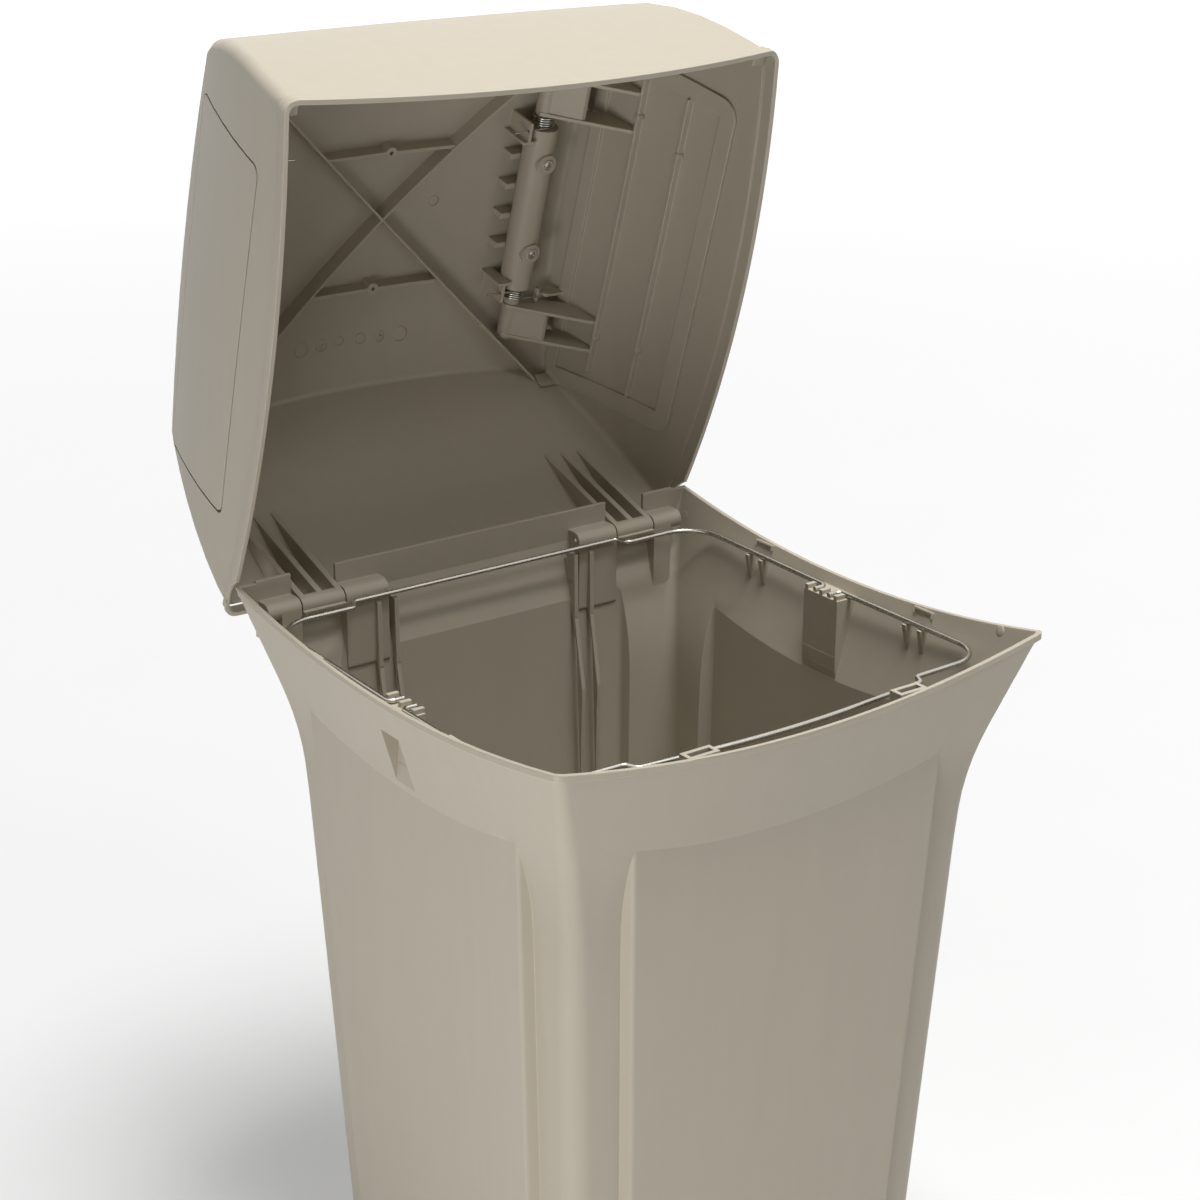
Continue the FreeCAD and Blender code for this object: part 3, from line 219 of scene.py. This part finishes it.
def platedSteel(name, look):
    # drawn or turned steel: fine streaks and an uneven shine under thin zinc
    material, tree, output = newMaterial(name)
    place = addNode(tree, "TexCoord").outputs["Object"]
    cloud = addNode(
        tree, "TexNoise", {"Vector": place, "Scale": perMetre(look["cloudSize"]), "Detail": 5.0}
    )
    streaks = addNode(
        tree, "TexNoise", {"Vector": place, "Scale": perMetre(look["streakSize"]), "Detail": 2.0}
    )
    base = hexColor(look["color"])
    darker = tinted(base, plating["cloudDeep"])
    tint = addNode(tree, "Mix", {0: cloud.outputs["Fac"], 6: darker, 7: base}, data_type="RGBA")
    smoothest = look["roughness"] - plating["smoother"]
    roughest = look["roughness"] + plating["rougher"]
    rough = addNode(tree, "MapRange", {0: streaks.outputs["Fac"], 3: smoothest, 4: roughest})
    bumped = addNode(
        tree,
        "Bump",
        {
            "Height": streaks.outputs["Fac"],
            "Strength": plating["streakStrength"],
            "Distance": plating["streakDepth"] * mm,
        },
    )
    shader = addNode(
        tree,
        "BsdfPrincipled",
        {
            "Base Color": tint.outputs[2],
            "Metallic": 1.0,
            "Roughness": rough.outputs[0],
            "Normal": bumped.outputs["Normal"],
        },
    )
    tree.links.new(shader.outputs[0], output.inputs[0])
    return material


shellPlastic = mouldedPlastic("moulded_polypropylene_spark_grain", mouldedShell)
# Bag wires: zinc-plated drawn steel, a soft bright line along each bend
wireSteel = platedSteel(
    "zinc_plated_drawn_wire",
    {"color": "c9c6bd", "roughness": 0.26, "cloudSize": 11, "streakSize": 2},
)
# Springs: bright spring wire, darker and sharper in shine
springSteel = platedSteel(
    "bright_spring_wire",
    {"color": "c6c4bd", "roughness": 0.22, "cloudSize": 8, "streakSize": 1},
)
# Screws and pins: zinc-plated, slightly dull from the plating bath
screwSteel = platedSteel(
    "zinc_plated_screw_steel",
    {"color": "c4c2bb", "roughness": 0.3, "cloudSize": 6, "streakSize": 1.4},
)
finishes = {
    "beige_plastic": shellPlastic,
    "wire_steel": wireSteel,
    "pin_steel": screwSteel,
    "screw_steel": screwSteel,
    "spring_steel": springSteel,
}
slots = {entry["node"]: entry["material_slot"] for entry in frame["record"]["subparts"]}
for name, node in nodes.items():
    for held in node.material_slots:
        held.material = finishes[slots[name]]
    if not node.material_slots:
        node.data.materials.append(finishes[slots[name]])
print("materials on the frame's nodes")

# The frame's nodes are shaded smooth inside each face, and over a border between two faces
# that turns by less than a limit in degrees. The hood's crown is made of strips that turn by
# more than the container's panels do at their upper edges, so it has a limit of its own.
softTurn = {"angle": 7, "hoodAngle": 13, "weld": 0.01, "weight": 50}
shading = bpy.data.node_groups.new("smooth_gentle_turns", "GeometryNodeTree")
for way in ("INPUT", "OUTPUT"):
    shading.interface.new_socket("Geometry", in_out=way, socket_type="NodeSocketGeometry")
limit = shading.interface.new_socket("Angle", in_out="INPUT", socket_type="NodeSocketFloat")
meshIn = addNode(shading, "NodeGroupInput")
# an edge is a face's border where it has one triangle beside it and not two
beside = addNode(shading, "GeometryNodeInputMeshEdgeNeighbors")
lone = addNode(
    shading, "ShaderNodeMath", {0: 2.0, 1: beside.outputs["Face Count"]}, operation="SUBTRACT"
)
marked = addNode(
    shading,
    "GeometryNodeStoreNamedAttribute",
    {"Geometry": meshIn.outputs[0], "Name": "face_border", "Value": lone.outputs[0]},
    data_type="FLOAT",
    domain="EDGE",
)
welded = addNode(
    shading,
    "GeometryNodeMergeByDistance",
    {"Geometry": marked.outputs[0], "Distance": softTurn["weld"] * mm},
)
plain = addNode(
    shading, "GeometryNodeRemoveAttribute", {"Geometry": welded.outputs[0], "Name": "custom_normal"}
)
rounded = addNode(
    shading,
    "GeometryNodeSetShadeSmooth",
    {"Geometry": plain.outputs[0], "Shade Smooth": True},
    domain="FACE",
)
turn = addNode(shading, "GeometryNodeInputMeshEdgeAngle")
border = addNode(
    shading, "GeometryNodeInputNamedAttribute", {"Name": "face_border"}, data_type="FLOAT"
)
borderTurn = addNode(
    shading,
    "ShaderNodeMath",
    {0: turn.outputs["Unsigned Angle"], 1: border.outputs[0]},
    operation="MULTIPLY",
)
gentle = addNode(
    shading,
    "ShaderNodeMath",
    {0: meshIn.outputs["Angle"], 1: borderTurn.outputs[0]},
    operation="SUBTRACT",
)
crisp = addNode(
    shading,
    "GeometryNodeSetShadeSmooth",
    {"Geometry": rounded.outputs[0], "Shade Smooth": gentle.outputs[0]},
    domain="EDGE",
)
addNode(shading, "NodeGroupOutput", {0: crisp.outputs[0]})
for name, node in nodes.items():
    smoothed = node.modifiers.new("smooth_gentle_turns", "NODES")
    smoothed.node_group = shading
    angle = softTurn["hoodAngle" if name == "hood_shell" else "angle"]
    smoothed[limit.identifier] = math.radians(angle)
    weighted = node.modifiers.new("flat_faces_stay_flat", "WEIGHTED_NORMAL")
    weighted.weight = softTurn["weight"]
    weighted.keep_sharp = True
print("frame's nodes shaded")

# The hood stands open: a place given for the closed hood turns back round the hinge
hinge = {"y": 249, "z": 760, "open": 73, "rim": 790}  # mm, and degrees open
hingePoint = Vector((0, hinge["y"] * mm, hinge["z"] * mm))
opening = (
    Matrix.Translation(hingePoint)
    @ Matrix.Rotation(math.radians(-hinge["open"]), 4, "X")
    @ Matrix.Translation(-hingePoint)
)


def hoodPlace(x, y, up):
    # millimetres from the middle of the rim, hood closed, to the open hood's place
    return opening @ Vector((x * mm, y * mm, (hinge["rim"] + up) * mm))


def hoodWay(x, y, z):
    # the same for a direction
    return (opening.to_3x3() @ Vector((x, y, z))).normalized()


def aimed(place, way, spin=0.0):
    # a piece's frame: its own Z looks along way
    turn = way.to_track_quat("Z", "Y").to_matrix().to_4x4()
    return Matrix.Translation(place) @ turn @ Matrix.Rotation(spin, 4, "Z")


def inMetres(x, y, z):
    return Vector((x, y, z)) * mm


def ringAt(mesh, frameMatrix, radius, height, segments):
    # a ring of a turned form in mm, or one point where it meets the axis
    if radius == 0:
        return [mesh.verts.new(frameMatrix @ inMetres(0, 0, height))]
    ring = []
    for i in range(segments):
        angle = 2 * math.pi * i / segments
        at = inMetres(radius * math.cos(angle), radius * math.sin(angle), height)
        ring.append(mesh.verts.new(frameMatrix @ at))
    return ring


def joinRings(mesh, rings):
    for low, high in zip(rings, rings[1:]):
        count = max(len(low), len(high))
        for i in range(count):
            j = (i + 1) % count
            if len(low) == 1:
                mesh.faces.new((low[0], high[j], high[i]))
            elif len(high) == 1:
                mesh.faces.new((low[i], low[j], high[0]))
            else:
                mesh.faces.new((low[i], low[j], high[j], high[i]))


def lathe(mesh, frameMatrix, profile, segments):
    # a closed turned form from (radius, height) pairs in mm; the first and last lie on the axis
    joinRings(mesh, [ringAt(mesh, frameMatrix, *pair, segments) for pair in profile])


sharpTurn = 38  # degrees, above which a piece's own edge stays crisp


def finishPiece(name, mesh, material, body, replaced=()):
    bmesh.ops.recalc_face_normals(mesh, faces=mesh.faces)
    for face in mesh.faces:
        face.smooth = True
    data = bpy.data.meshes.new(name)
    mesh.to_mesh(data)
    mesh.free()
    data.set_sharp_from_angle(angle=math.radians(sharpTurn))
    data.materials.append(material)
    piece = bpy.data.objects.new(name, data)
    bpy.context.scene.collection.objects.link(piece)
    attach(piece, body)
    if replaced:
        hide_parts(*replaced)


def surfaceOf(node):
    # what seat casts its rays on
    bpy.context.view_layer.update()
    return BVHTree.FromObject(node, bpy.context.evaluated_depsgraph_get()), node.matrix_world


def seat(surface, start, way):
    # where a ray first meets a node's surface, and the way into it, in the scene's frame
    tree, world = surface
    back = world.inverted()
    place, normal, _, _ = tree.ray_cast(back @ start, (back.to_3x3() @ way).normalized())
    return world @ place, -(world.to_3x3() @ normal).normalized()


# Cross-recess screws that hold the spindles
spindleScrew = {
    "x": 171,
    "ys": (-65.35, 38.75),
    "face": 196.5,
    "head": 4.4,
    "headHeight": 2.8,
    "dome": 0.8,
    "recess": 2.7,
    "recessFoot": 1.1,
    "blade": 0.62,
    "bladeInner": 1.15,  # its width at the middle, as a share, and how much it loses outwards
    "bladeTaper": 0.5,
    "bladeFlank": 0.3,
    "depth": 1.7,
    "shank": 1.95,
    "threadRoot": 0.82,
    "tip": 0.3,
    "top": 240,
    "pitch": 1.2,
    "turn": 35,
    "turnMore": 40,
    "rings": 26,
    "segments": 72,
}


def crossHead(mesh, frameMatrix, s):
    # domed head with a cross recess, seen from its own +Z
    segments = s["segments"]
    rings = [ringAt(mesh, frameMatrix, 0, s["dome"] - s["depth"], segments)]
    for i in range(1, s["rings"] + 1):
        radius = s["head"] * i / s["rings"]
        ring = []
        for j in range(segments):
            angle = 2 * math.pi * j / segments
            u, v = radius * math.cos(angle), radius * math.sin(angle)
            height = s["dome"] * (1 - (radius / s["head"]) ** 2)
            arm = min(abs(u), abs(v))
            wide = s["blade"] * (s["bladeInner"] - s["bladeTaper"] * radius / s["recess"])
            if radius < s["recess"] and arm < wide:
                share = min(1.0, (wide - arm) / (s["bladeFlank"] * wide))
                foot = min(1.0, (s["recess"] - radius) / s["recessFoot"])
                height -= s["depth"] * share * foot
            ring.append(mesh.verts.new(frameMatrix @ inMetres(u, v, height)))
        rings.append(ring)
    # side of the head, its seat and the threaded shank
    profile = [(s["head"], -s["headHeight"]), (s["shank"], -s["headHeight"])]
    length = s["top"] - s["face"]
    turns = int((length - s["headHeight"]) / s["pitch"])
    for i in range(turns):
        down = -s["headHeight"] - s["pitch"] * (i + 0.5)
        profile += [(s["shank"] * s["threadRoot"], down), (s["shank"], down - s["pitch"] / 2)]
    profile += [(s["shank"] * s["tip"], -length), (0, -length)]
    joinRings(mesh, rings + [ringAt(mesh, frameMatrix, *pair, segments) for pair in profile])


for label, sign in sides:
    mesh = bmesh.new()
    for i, y in enumerate(spindleScrew["ys"]):
        place = hoodPlace(sign * spindleScrew["x"], y, spindleScrew["face"])
        spin = math.radians(spindleScrew["turn"] + spindleScrew["turnMore"] * i) * sign
        crossHead(mesh, aimed(place, hoodWay(0, 0, -1), spin), spindleScrew)
    node = label + "_spindle_screws"
    finishPiece(label + "_cross_screws", mesh, screwSteel, "hood", (node,))
print("cross-recess screws made")

# Hinge pins with a rounded inner tip, and plugs in the side walls where their bores run out
hingePin = {
    "inner": 115,
    "outer": 248,
    "radius": 4,
    "tip": ((1.6, 0.15), (0.6, 0.6), (0, 1.5)),  # less radius, at a height
    "segments": 40,
}
wallPlug = {
    "place": (262.62, 249, 760),
    "way": (0.952, 0.06, -0.299),
    "radius": 4.9,
    "half": 2.06,
    "chamfer": 0.3,
    "segments": 40,
}
for label, sign in sides:
    mesh = bmesh.new()
    start = inMetres(sign * hingePin["inner"], hinge["y"], hinge["z"])
    r, length = hingePin["radius"], hingePin["outer"] - hingePin["inner"]
    profile = [(0, 0)] + [(r - less, height) for less, height in hingePin["tip"]]
    profile += [(r, length), (0, length)]
    lathe(mesh, aimed(start, Vector((sign, 0, 0))), profile, hingePin["segments"])
    node = label + "_hinge_pin"
    finishPiece(label + "_round_tip_pin", mesh, screwSteel, "container", (node,))
    mesh = bmesh.new()
    x, y, z = wallPlug["place"]
    r, half, cut = wallPlug["radius"], wallPlug["half"], wallPlug["chamfer"]
    wayX, wayY, wayZ = wallPlug["way"]
    frameMatrix = aimed(inMetres(sign * x, y, z), Vector((sign * wayX, wayY, wayZ)))
    profile = [(0, -half), (r - cut, -half), (r, cut - half), (r, half - cut)]
    profile += [(r - cut, half), (0, half)]
    lathe(mesh, frameMatrix, profile, wallPlug["segments"])
    finishPiece(label + "_wall_plug", mesh, shellPlastic, "container")
print("hinge pins and wall plugs made")

# Small round pads that ejector pins leave on the doors' ribs
doorPad = {
    "radius": 3.6,
    "length": 7.6,
    "proud": 0.8,
    "edge": ((0.5, 0), (0.1, 0.25), (0, 0.6)),  # less radius, at a height
    "segments": 32,
    "inside": 120,  # where the rays to the ribs start
    "spots": ((-118, 93), (112, 93), (-135, 152), (127, 152)),
}
for label, sign in sides:
    surface = surfaceOf(nodes[label + "_door_panel"])
    mesh = bmesh.new()
    for y, up in doorPad["spots"]:
        way = hoodWay(sign, 0, 0)
        top, _ = seat(surface, hoodPlace(sign * doorPad["inside"], y, up), way)
        r, long = doorPad["radius"], doorPad["length"]
        profile = [(0, 0)] + [(r - less, height) for less, height in doorPad["edge"]]
        profile += [(r, long), (0, long)]
        frameMatrix = aimed(top - way * doorPad["proud"] * mm, way)
        lathe(mesh, frameMatrix, profile, doorPad["segments"])
    finishPiece(label + "_door_rib_pads", mesh, shellPlastic, label + "_door")
print("door rib pads made")

# Round marks that ejector pins leave under the crown, two of them with a short stub
crownMark = {
    "groove": 0.9,
    "rise": 0.45,
    "dish": 0.1,
    "ridge": ((1, 0), (0.6, 1.3), (0.3, 0), (0, 0.4)),  # shares of the groove and of the rise
    "sunk": 2,
    "segments": 56,
    "stub": 1.7,
    "stubRise": 3.2,
    "stubFace": 0.7,
    "stubEdge": 0.5,
    "stubLength": 4,
    "stubSegments": 24,
    "below": 170,  # where the rays to the crown start
    "marks": (
        (70.6, -12.7, 6, False),
        (-74.4, 137.1, 8.5, False),
        (-49.3, 136.4, 7, True),
        (-28, 134.8, 5.6, False),
        (-1.9, 136.5, 6.4, False),
        (21.2, 137.1, 6.6, True),
        (47.1, 138, 8.7, False),
    ),
}
surface = surfaceOf(nodes["hood_shell"])
mesh = bmesh.new()
m = crownMark
for x, y, r, stubbed in m["marks"]:
    top, inward = seat(surface, hoodPlace(x, y, m["below"]), hoodWay(0, 0, 1))
    profile = [(0, m["dish"])]
    profile += [(r - m["groove"] * wide, m["rise"] * high) for wide, high in m["ridge"]]
    profile += [(r, m["sunk"]), (0, m["sunk"])]
    lathe(mesh, aimed(top - inward * m["rise"] * mm, inward), profile, m["segments"])
    if stubbed:
        profile = [(0, 0), (m["stub"] * m["stubFace"], 0), (m["stub"], m["stubEdge"])]
        profile += [(m["stub"], m["stubLength"]), (0, m["stubLength"])]
        frameMatrix = aimed(top - inward * m["stubRise"] * mm, inward)
        lathe(mesh, frameMatrix, profile, m["stubSegments"])
finishPiece("crown_pin_marks", mesh, shellPlastic, "hood")

# Small round bumps on the inside of the rim, near its front corners
rimBump = {
    "y": -222,
    "z": 775.2,
    "radius": 5.2,
    "rise": 0.8,
    "sunk": 1.2,
    "steps": 6,
    "segments": 36,
}
insideTub = 200  # mm from the middle, where the rays to the side walls start
surface = surfaceOf(nodes["container_body"])
for label, sign in sides:
    mesh = bmesh.new()
    start = inMetres(sign * insideTub, rimBump["y"], rimBump["z"])
    top, inward = seat(surface, start, Vector((sign, 0, 0)))
    r, rise = rimBump["radius"], rimBump["rise"]
    profile = [(0, 0)]
    for i in range(1, rimBump["steps"] + 1):
        angle = math.pi / 2 * i / rimBump["steps"]
        profile.append((r * math.sin(angle), rise * (1 - math.cos(angle))))
    profile += [(r, rise + rimBump["sunk"]), (0, rise + rimBump["sunk"])]
    lathe(mesh, aimed(top - inward * rise * mm, inward), profile, rimBump["segments"])
    finishPiece(label + "_rim_bump", mesh, shellPlastic, "container")
print("marks and bumps made")


def slab(mesh, low, high, placed=inMetres):
    # a closed form between two outlines with as many points each
    ends = [[mesh.verts.new(placed(*point)) for point in outline] for outline in (low, high)]
    count = len(ends[0])
    for i in range(count):
        j = (i + 1) % count
        mesh.faces.new((ends[0][i], ends[0][j], ends[1][j], ends[1][i]))
    mesh.faces.new(ends[0])
    mesh.faces.new(ends[1])


# Long ribs below the inner hinge knuckles: their straight upper fronts
backRib = {
    "places": (107, 127),
    "thick": 4.5,
    "grown": 0.15,
    "outline": ((236, 748.5), (237.5, 750), (251, 750), (244, 705), (242, 684), (235.2, 680)),
}
for label, sign in sides:
    mesh = bmesh.new()
    for place in backRib["places"]:
        x0, x1 = place - backRib["grown"], place + backRib["thick"] + backRib["grown"]
        low, high = ([(sign * x, y, z) for y, z in backRib["outline"]] for x in (x0, x1))
        slab(mesh, low, high)
    finishPiece(label + "_back_rib_fronts", mesh, shellPlastic, "container")

# Foot of each wire bracket, run out into the panel's hollow
bracketFoot = {
    "half": 24.9,
    "outline": ((239.95, 690), (239.95, 677), (241.9, 666), (244, 666), (246, 690)),
}
for label, sign in sides:
    mesh = bmesh.new()
    low, high = (
        [(sign * x, y * bracketFoot["half"], z) for x, z in bracketFoot["outline"]]
        for y in (-1, 1)
    )
    slab(mesh, low, high)
    finishPiece(label + "_bracket_foot", mesh, shellPlastic, "container")

# Ramp at the foot of each grip notch, so that its floor runs out into the panel
notchRamp = {
    "half": 16,
    "topHalf": 15,
    "foot": 670.8,
    "top": 724,
    "floor": 243.2,
    "proud": 0.1,
    "sunk": 0.8,
    "lip": 247.35,
}
for label, sign in sides:
    mesh = bmesh.new()
    r = notchRamp
    rows = ((r["foot"], r["lip"], r["half"]), (r["top"], r["floor"] + r["proud"], r["topHalf"]))
    low, high = (
        [(sign * (r["floor"] - r["sunk"]), y * half, z) for y in (-1, 1)]
        + [(sign * x, y * half, z) for y in (1, -1)]
        for z, x, half in rows
    )
    slab(mesh, low, high)
    finishPiece(label + "_notch_ramp", mesh, shellPlastic, "container")

# Low tabs on the wall above the wires' side rests
wireTab = {
    "places": (-120, 120),
    "z": 761.5,
    "half": 13.5,
    "tall": 3.2,
    "proud": 2.2,
    "sunk": 1.2,
    "leg": 2.4,
}
for label, sign in sides:
    mesh = bmesh.new()
    w = wireTab
    for place in w["places"]:
        start = inMetres(sign * insideTub, place, w["z"])
        at, inward = seat(surface, start, Vector((sign, 0, 0)))
        along = Vector((0, 1, 0))
        upWall = along.cross(inward).normalized()
        if upWall.z < 0:
            upWall = -upWall
        outline = [
            (-w["half"], -w["tall"]),
            (-w["half"], w["tall"]),
            (w["half"], w["tall"]),
            (w["half"], -w["tall"]),
            (w["half"] - w["leg"], -w["tall"]),
            (w["half"] - w["leg"], w["tall"] - w["leg"]),
            (w["leg"] - w["half"], w["tall"] - w["leg"]),
            (w["leg"] - w["half"], -w["tall"]),
        ]
        slab(
            mesh,
            [(u, v, -w["proud"]) for u, v in outline],
            [(u, v, w["sunk"]) for u, v in outline],
            lambda u, v, n: at + (along * u + upWall * v + inward * n) * mm,
        )
    finishPiece(label + "_wire_tabs", mesh, shellPlastic, "container")
print("ribs, ramps and tabs made")

# Camera, where the photograph was taken from
shot = {
    "azimuth": -36.14,
    "elevation": 20.65,
    "roll": 0.27,
    "distance": 2272.5 * mm,
    "target": Vector((-32.2 * mm, 0, 803 * mm)),
    "focalShare": 2449.2 / 1200,
    "sensor": 36,
    "reach": 50,
}
azimuth, elevation, roll = (math.radians(shot[key]) for key in ("azimuth", "elevation", "roll"))
away = Vector(
    (
        math.sin(azimuth) * math.cos(elevation),
        -math.cos(azimuth) * math.cos(elevation),
        math.sin(elevation),
    )
)
level = Vector((math.cos(azimuth), math.sin(azimuth), 0))
upward = away.cross(level)
right = math.cos(roll) * level + math.sin(roll) * upward
upward = math.cos(roll) * upward - math.sin(roll) * level
lens = bpy.data.cameras.new("photo_camera")
lens.sensor_width = shot["sensor"]
lens.lens = shot["sensor"] * shot["focalShare"]
lens.clip_end = shot["reach"]
camera = bpy.data.objects.new("photo_camera", lens)
bpy.context.scene.collection.objects.link(camera)
turn = Matrix((right, upward, away)).transposed().to_4x4()
camera.matrix_world = Matrix.Translation(shot["target"] + away * shot["distance"]) @ turn
bpy.context.scene.camera = camera

# Soft boxes: a large one overhead, a weak one high in front and a weak low one on the left
softBoxes = {
    "overhead_softbox": {"place": (0.35, -0.8, 6.8), "size": (2.6, 2.6), "power": 430},
    "front_softbox": {"place": (0.5, -3.2, 4.6), "size": (1.4, 1.4), "power": 30},
    "low_left_softbox": {"place": (-1.5, -0.75, 0.42), "size": (0.9, 0.6), "power": 10.5},
}
lampAim = Vector((0, 0.1, 0.7))
for name, box in softBoxes.items():
    light = bpy.data.lights.new(name, "AREA")
    light.shape = "RECTANGLE"
    light.size, light.size_y = box["size"]
    light.energy = box["power"]
    holder = bpy.data.objects.new(name, light)
    holder.location = box["place"]
    aim = lampAim - Vector(box["place"])
    holder.rotation_euler = aim.to_track_quat("-Z", "Y").to_euler()
    holder.visible_camera = False
    bpy.context.scene.collection.objects.link(holder)

# Pale floor, and a white surround wherever the camera or a reflection looks past the object
studio = {
    "floor": "cecece",
    "floorDeep": 0.97,
    "cloudSize": 300,
    "roughness": 0.9,
    "nearGlow": 0.3,
    "farGlow": 0.98,
    "nearReach": 0.9,  # metres from the container
    "farReach": 9.0,
    "sky": 0.1,
    "reach": 30,
}


def seenDirectly(tree):
    rays = addNode(tree, "LightPath")
    mirror = addNode(
        tree,
        "Math",
        {0: rays.outputs["Is Glossy Ray"], 1: rays.outputs["Is Transmission Ray"]},
        operation="MAXIMUM",
    )
    return addNode(
        tree,
        "Math",
        {0: rays.outputs["Is Camera Ray"], 1: mirror.outputs[0]},
        operation="MAXIMUM",
    ).outputs[0]


floorMesh = bpy.data.meshes.new("floor")
reach = studio["reach"]
floorMesh.from_pydata(
    [(-reach, -reach, 0), (reach, -reach, 0), (reach, reach, 0), (-reach, reach, 0)],
    [],
    [(0, 1, 2, 3)],
)
floor = bpy.data.objects.new("floor", floorMesh)
bpy.context.scene.collection.objects.link(floor)
floorPaint, floorTree, floorOutput = newMaterial("pale_studio_floor")
floorPlace = addNode(floorTree, "TexCoord").outputs["Object"]
cloudScale = perMetre(studio["cloudSize"])
floorCloud = addNode(floorTree, "TexNoise", {"Vector": floorPlace, "Scale": cloudScale})
paint = hexColor(studio["floor"])
shade = tinted(paint, studio["floorDeep"])
floorTint = addNode(
    floorTree, "Mix", {0: floorCloud.outputs["Fac"], 6: shade, 7: paint}, data_type="RGBA"
)
# far from the lamps the floor itself grows pale
farness = addNode(floorTree, "VectorMath", {0: floorPlace}, operation="LENGTH")
paleness = addNode(
    floorTree,
    "MapRange",
    {
        0: farness.outputs["Value"],
        1: studio["nearReach"],
        2: studio["farReach"],
        3: studio["nearGlow"],
        4: studio["farGlow"],
    },
)
glow = addNode(
    floorTree,
    "Math",
    {0: seenDirectly(floorTree), 1: paleness.outputs[0]},
    operation="MULTIPLY",
)
floorShader = addNode(
    floorTree,
    "BsdfPrincipled",
    {
        "Base Color": floorTint.outputs[2],
        "Roughness": studio["roughness"],
        "Emission Color": (1, 1, 1, 1),
        "Emission Strength": glow.outputs[0],
    },
)
floorTree.links.new(floorShader.outputs[0], floorOutput.inputs[0])
floorMesh.materials.append(floorPaint)

world = bpy.data.worlds.new("studio")
bpy.context.scene.world = world
world.use_nodes = True
sky = world.node_tree
sky.nodes.clear()
skyOutput = sky.nodes.new("ShaderNodeOutputWorld")
dim = addNode(sky, "Background", {"Color": (1, 1, 1, 1), "Strength": studio["sky"]})
white = addNode(sky, "Background", {"Color": (1, 1, 1, 1), "Strength": 1.0})
seen = addNode(sky, "MixShader", {0: seenDirectly(sky), 1: dim.outputs[0], 2: white.outputs[0]})
sky.links.new(seen.outputs[0], skyOutput.inputs[0])
bpy.context.scene.view_settings.view_transform = "Standard"
print("camera, lights and floor placed")
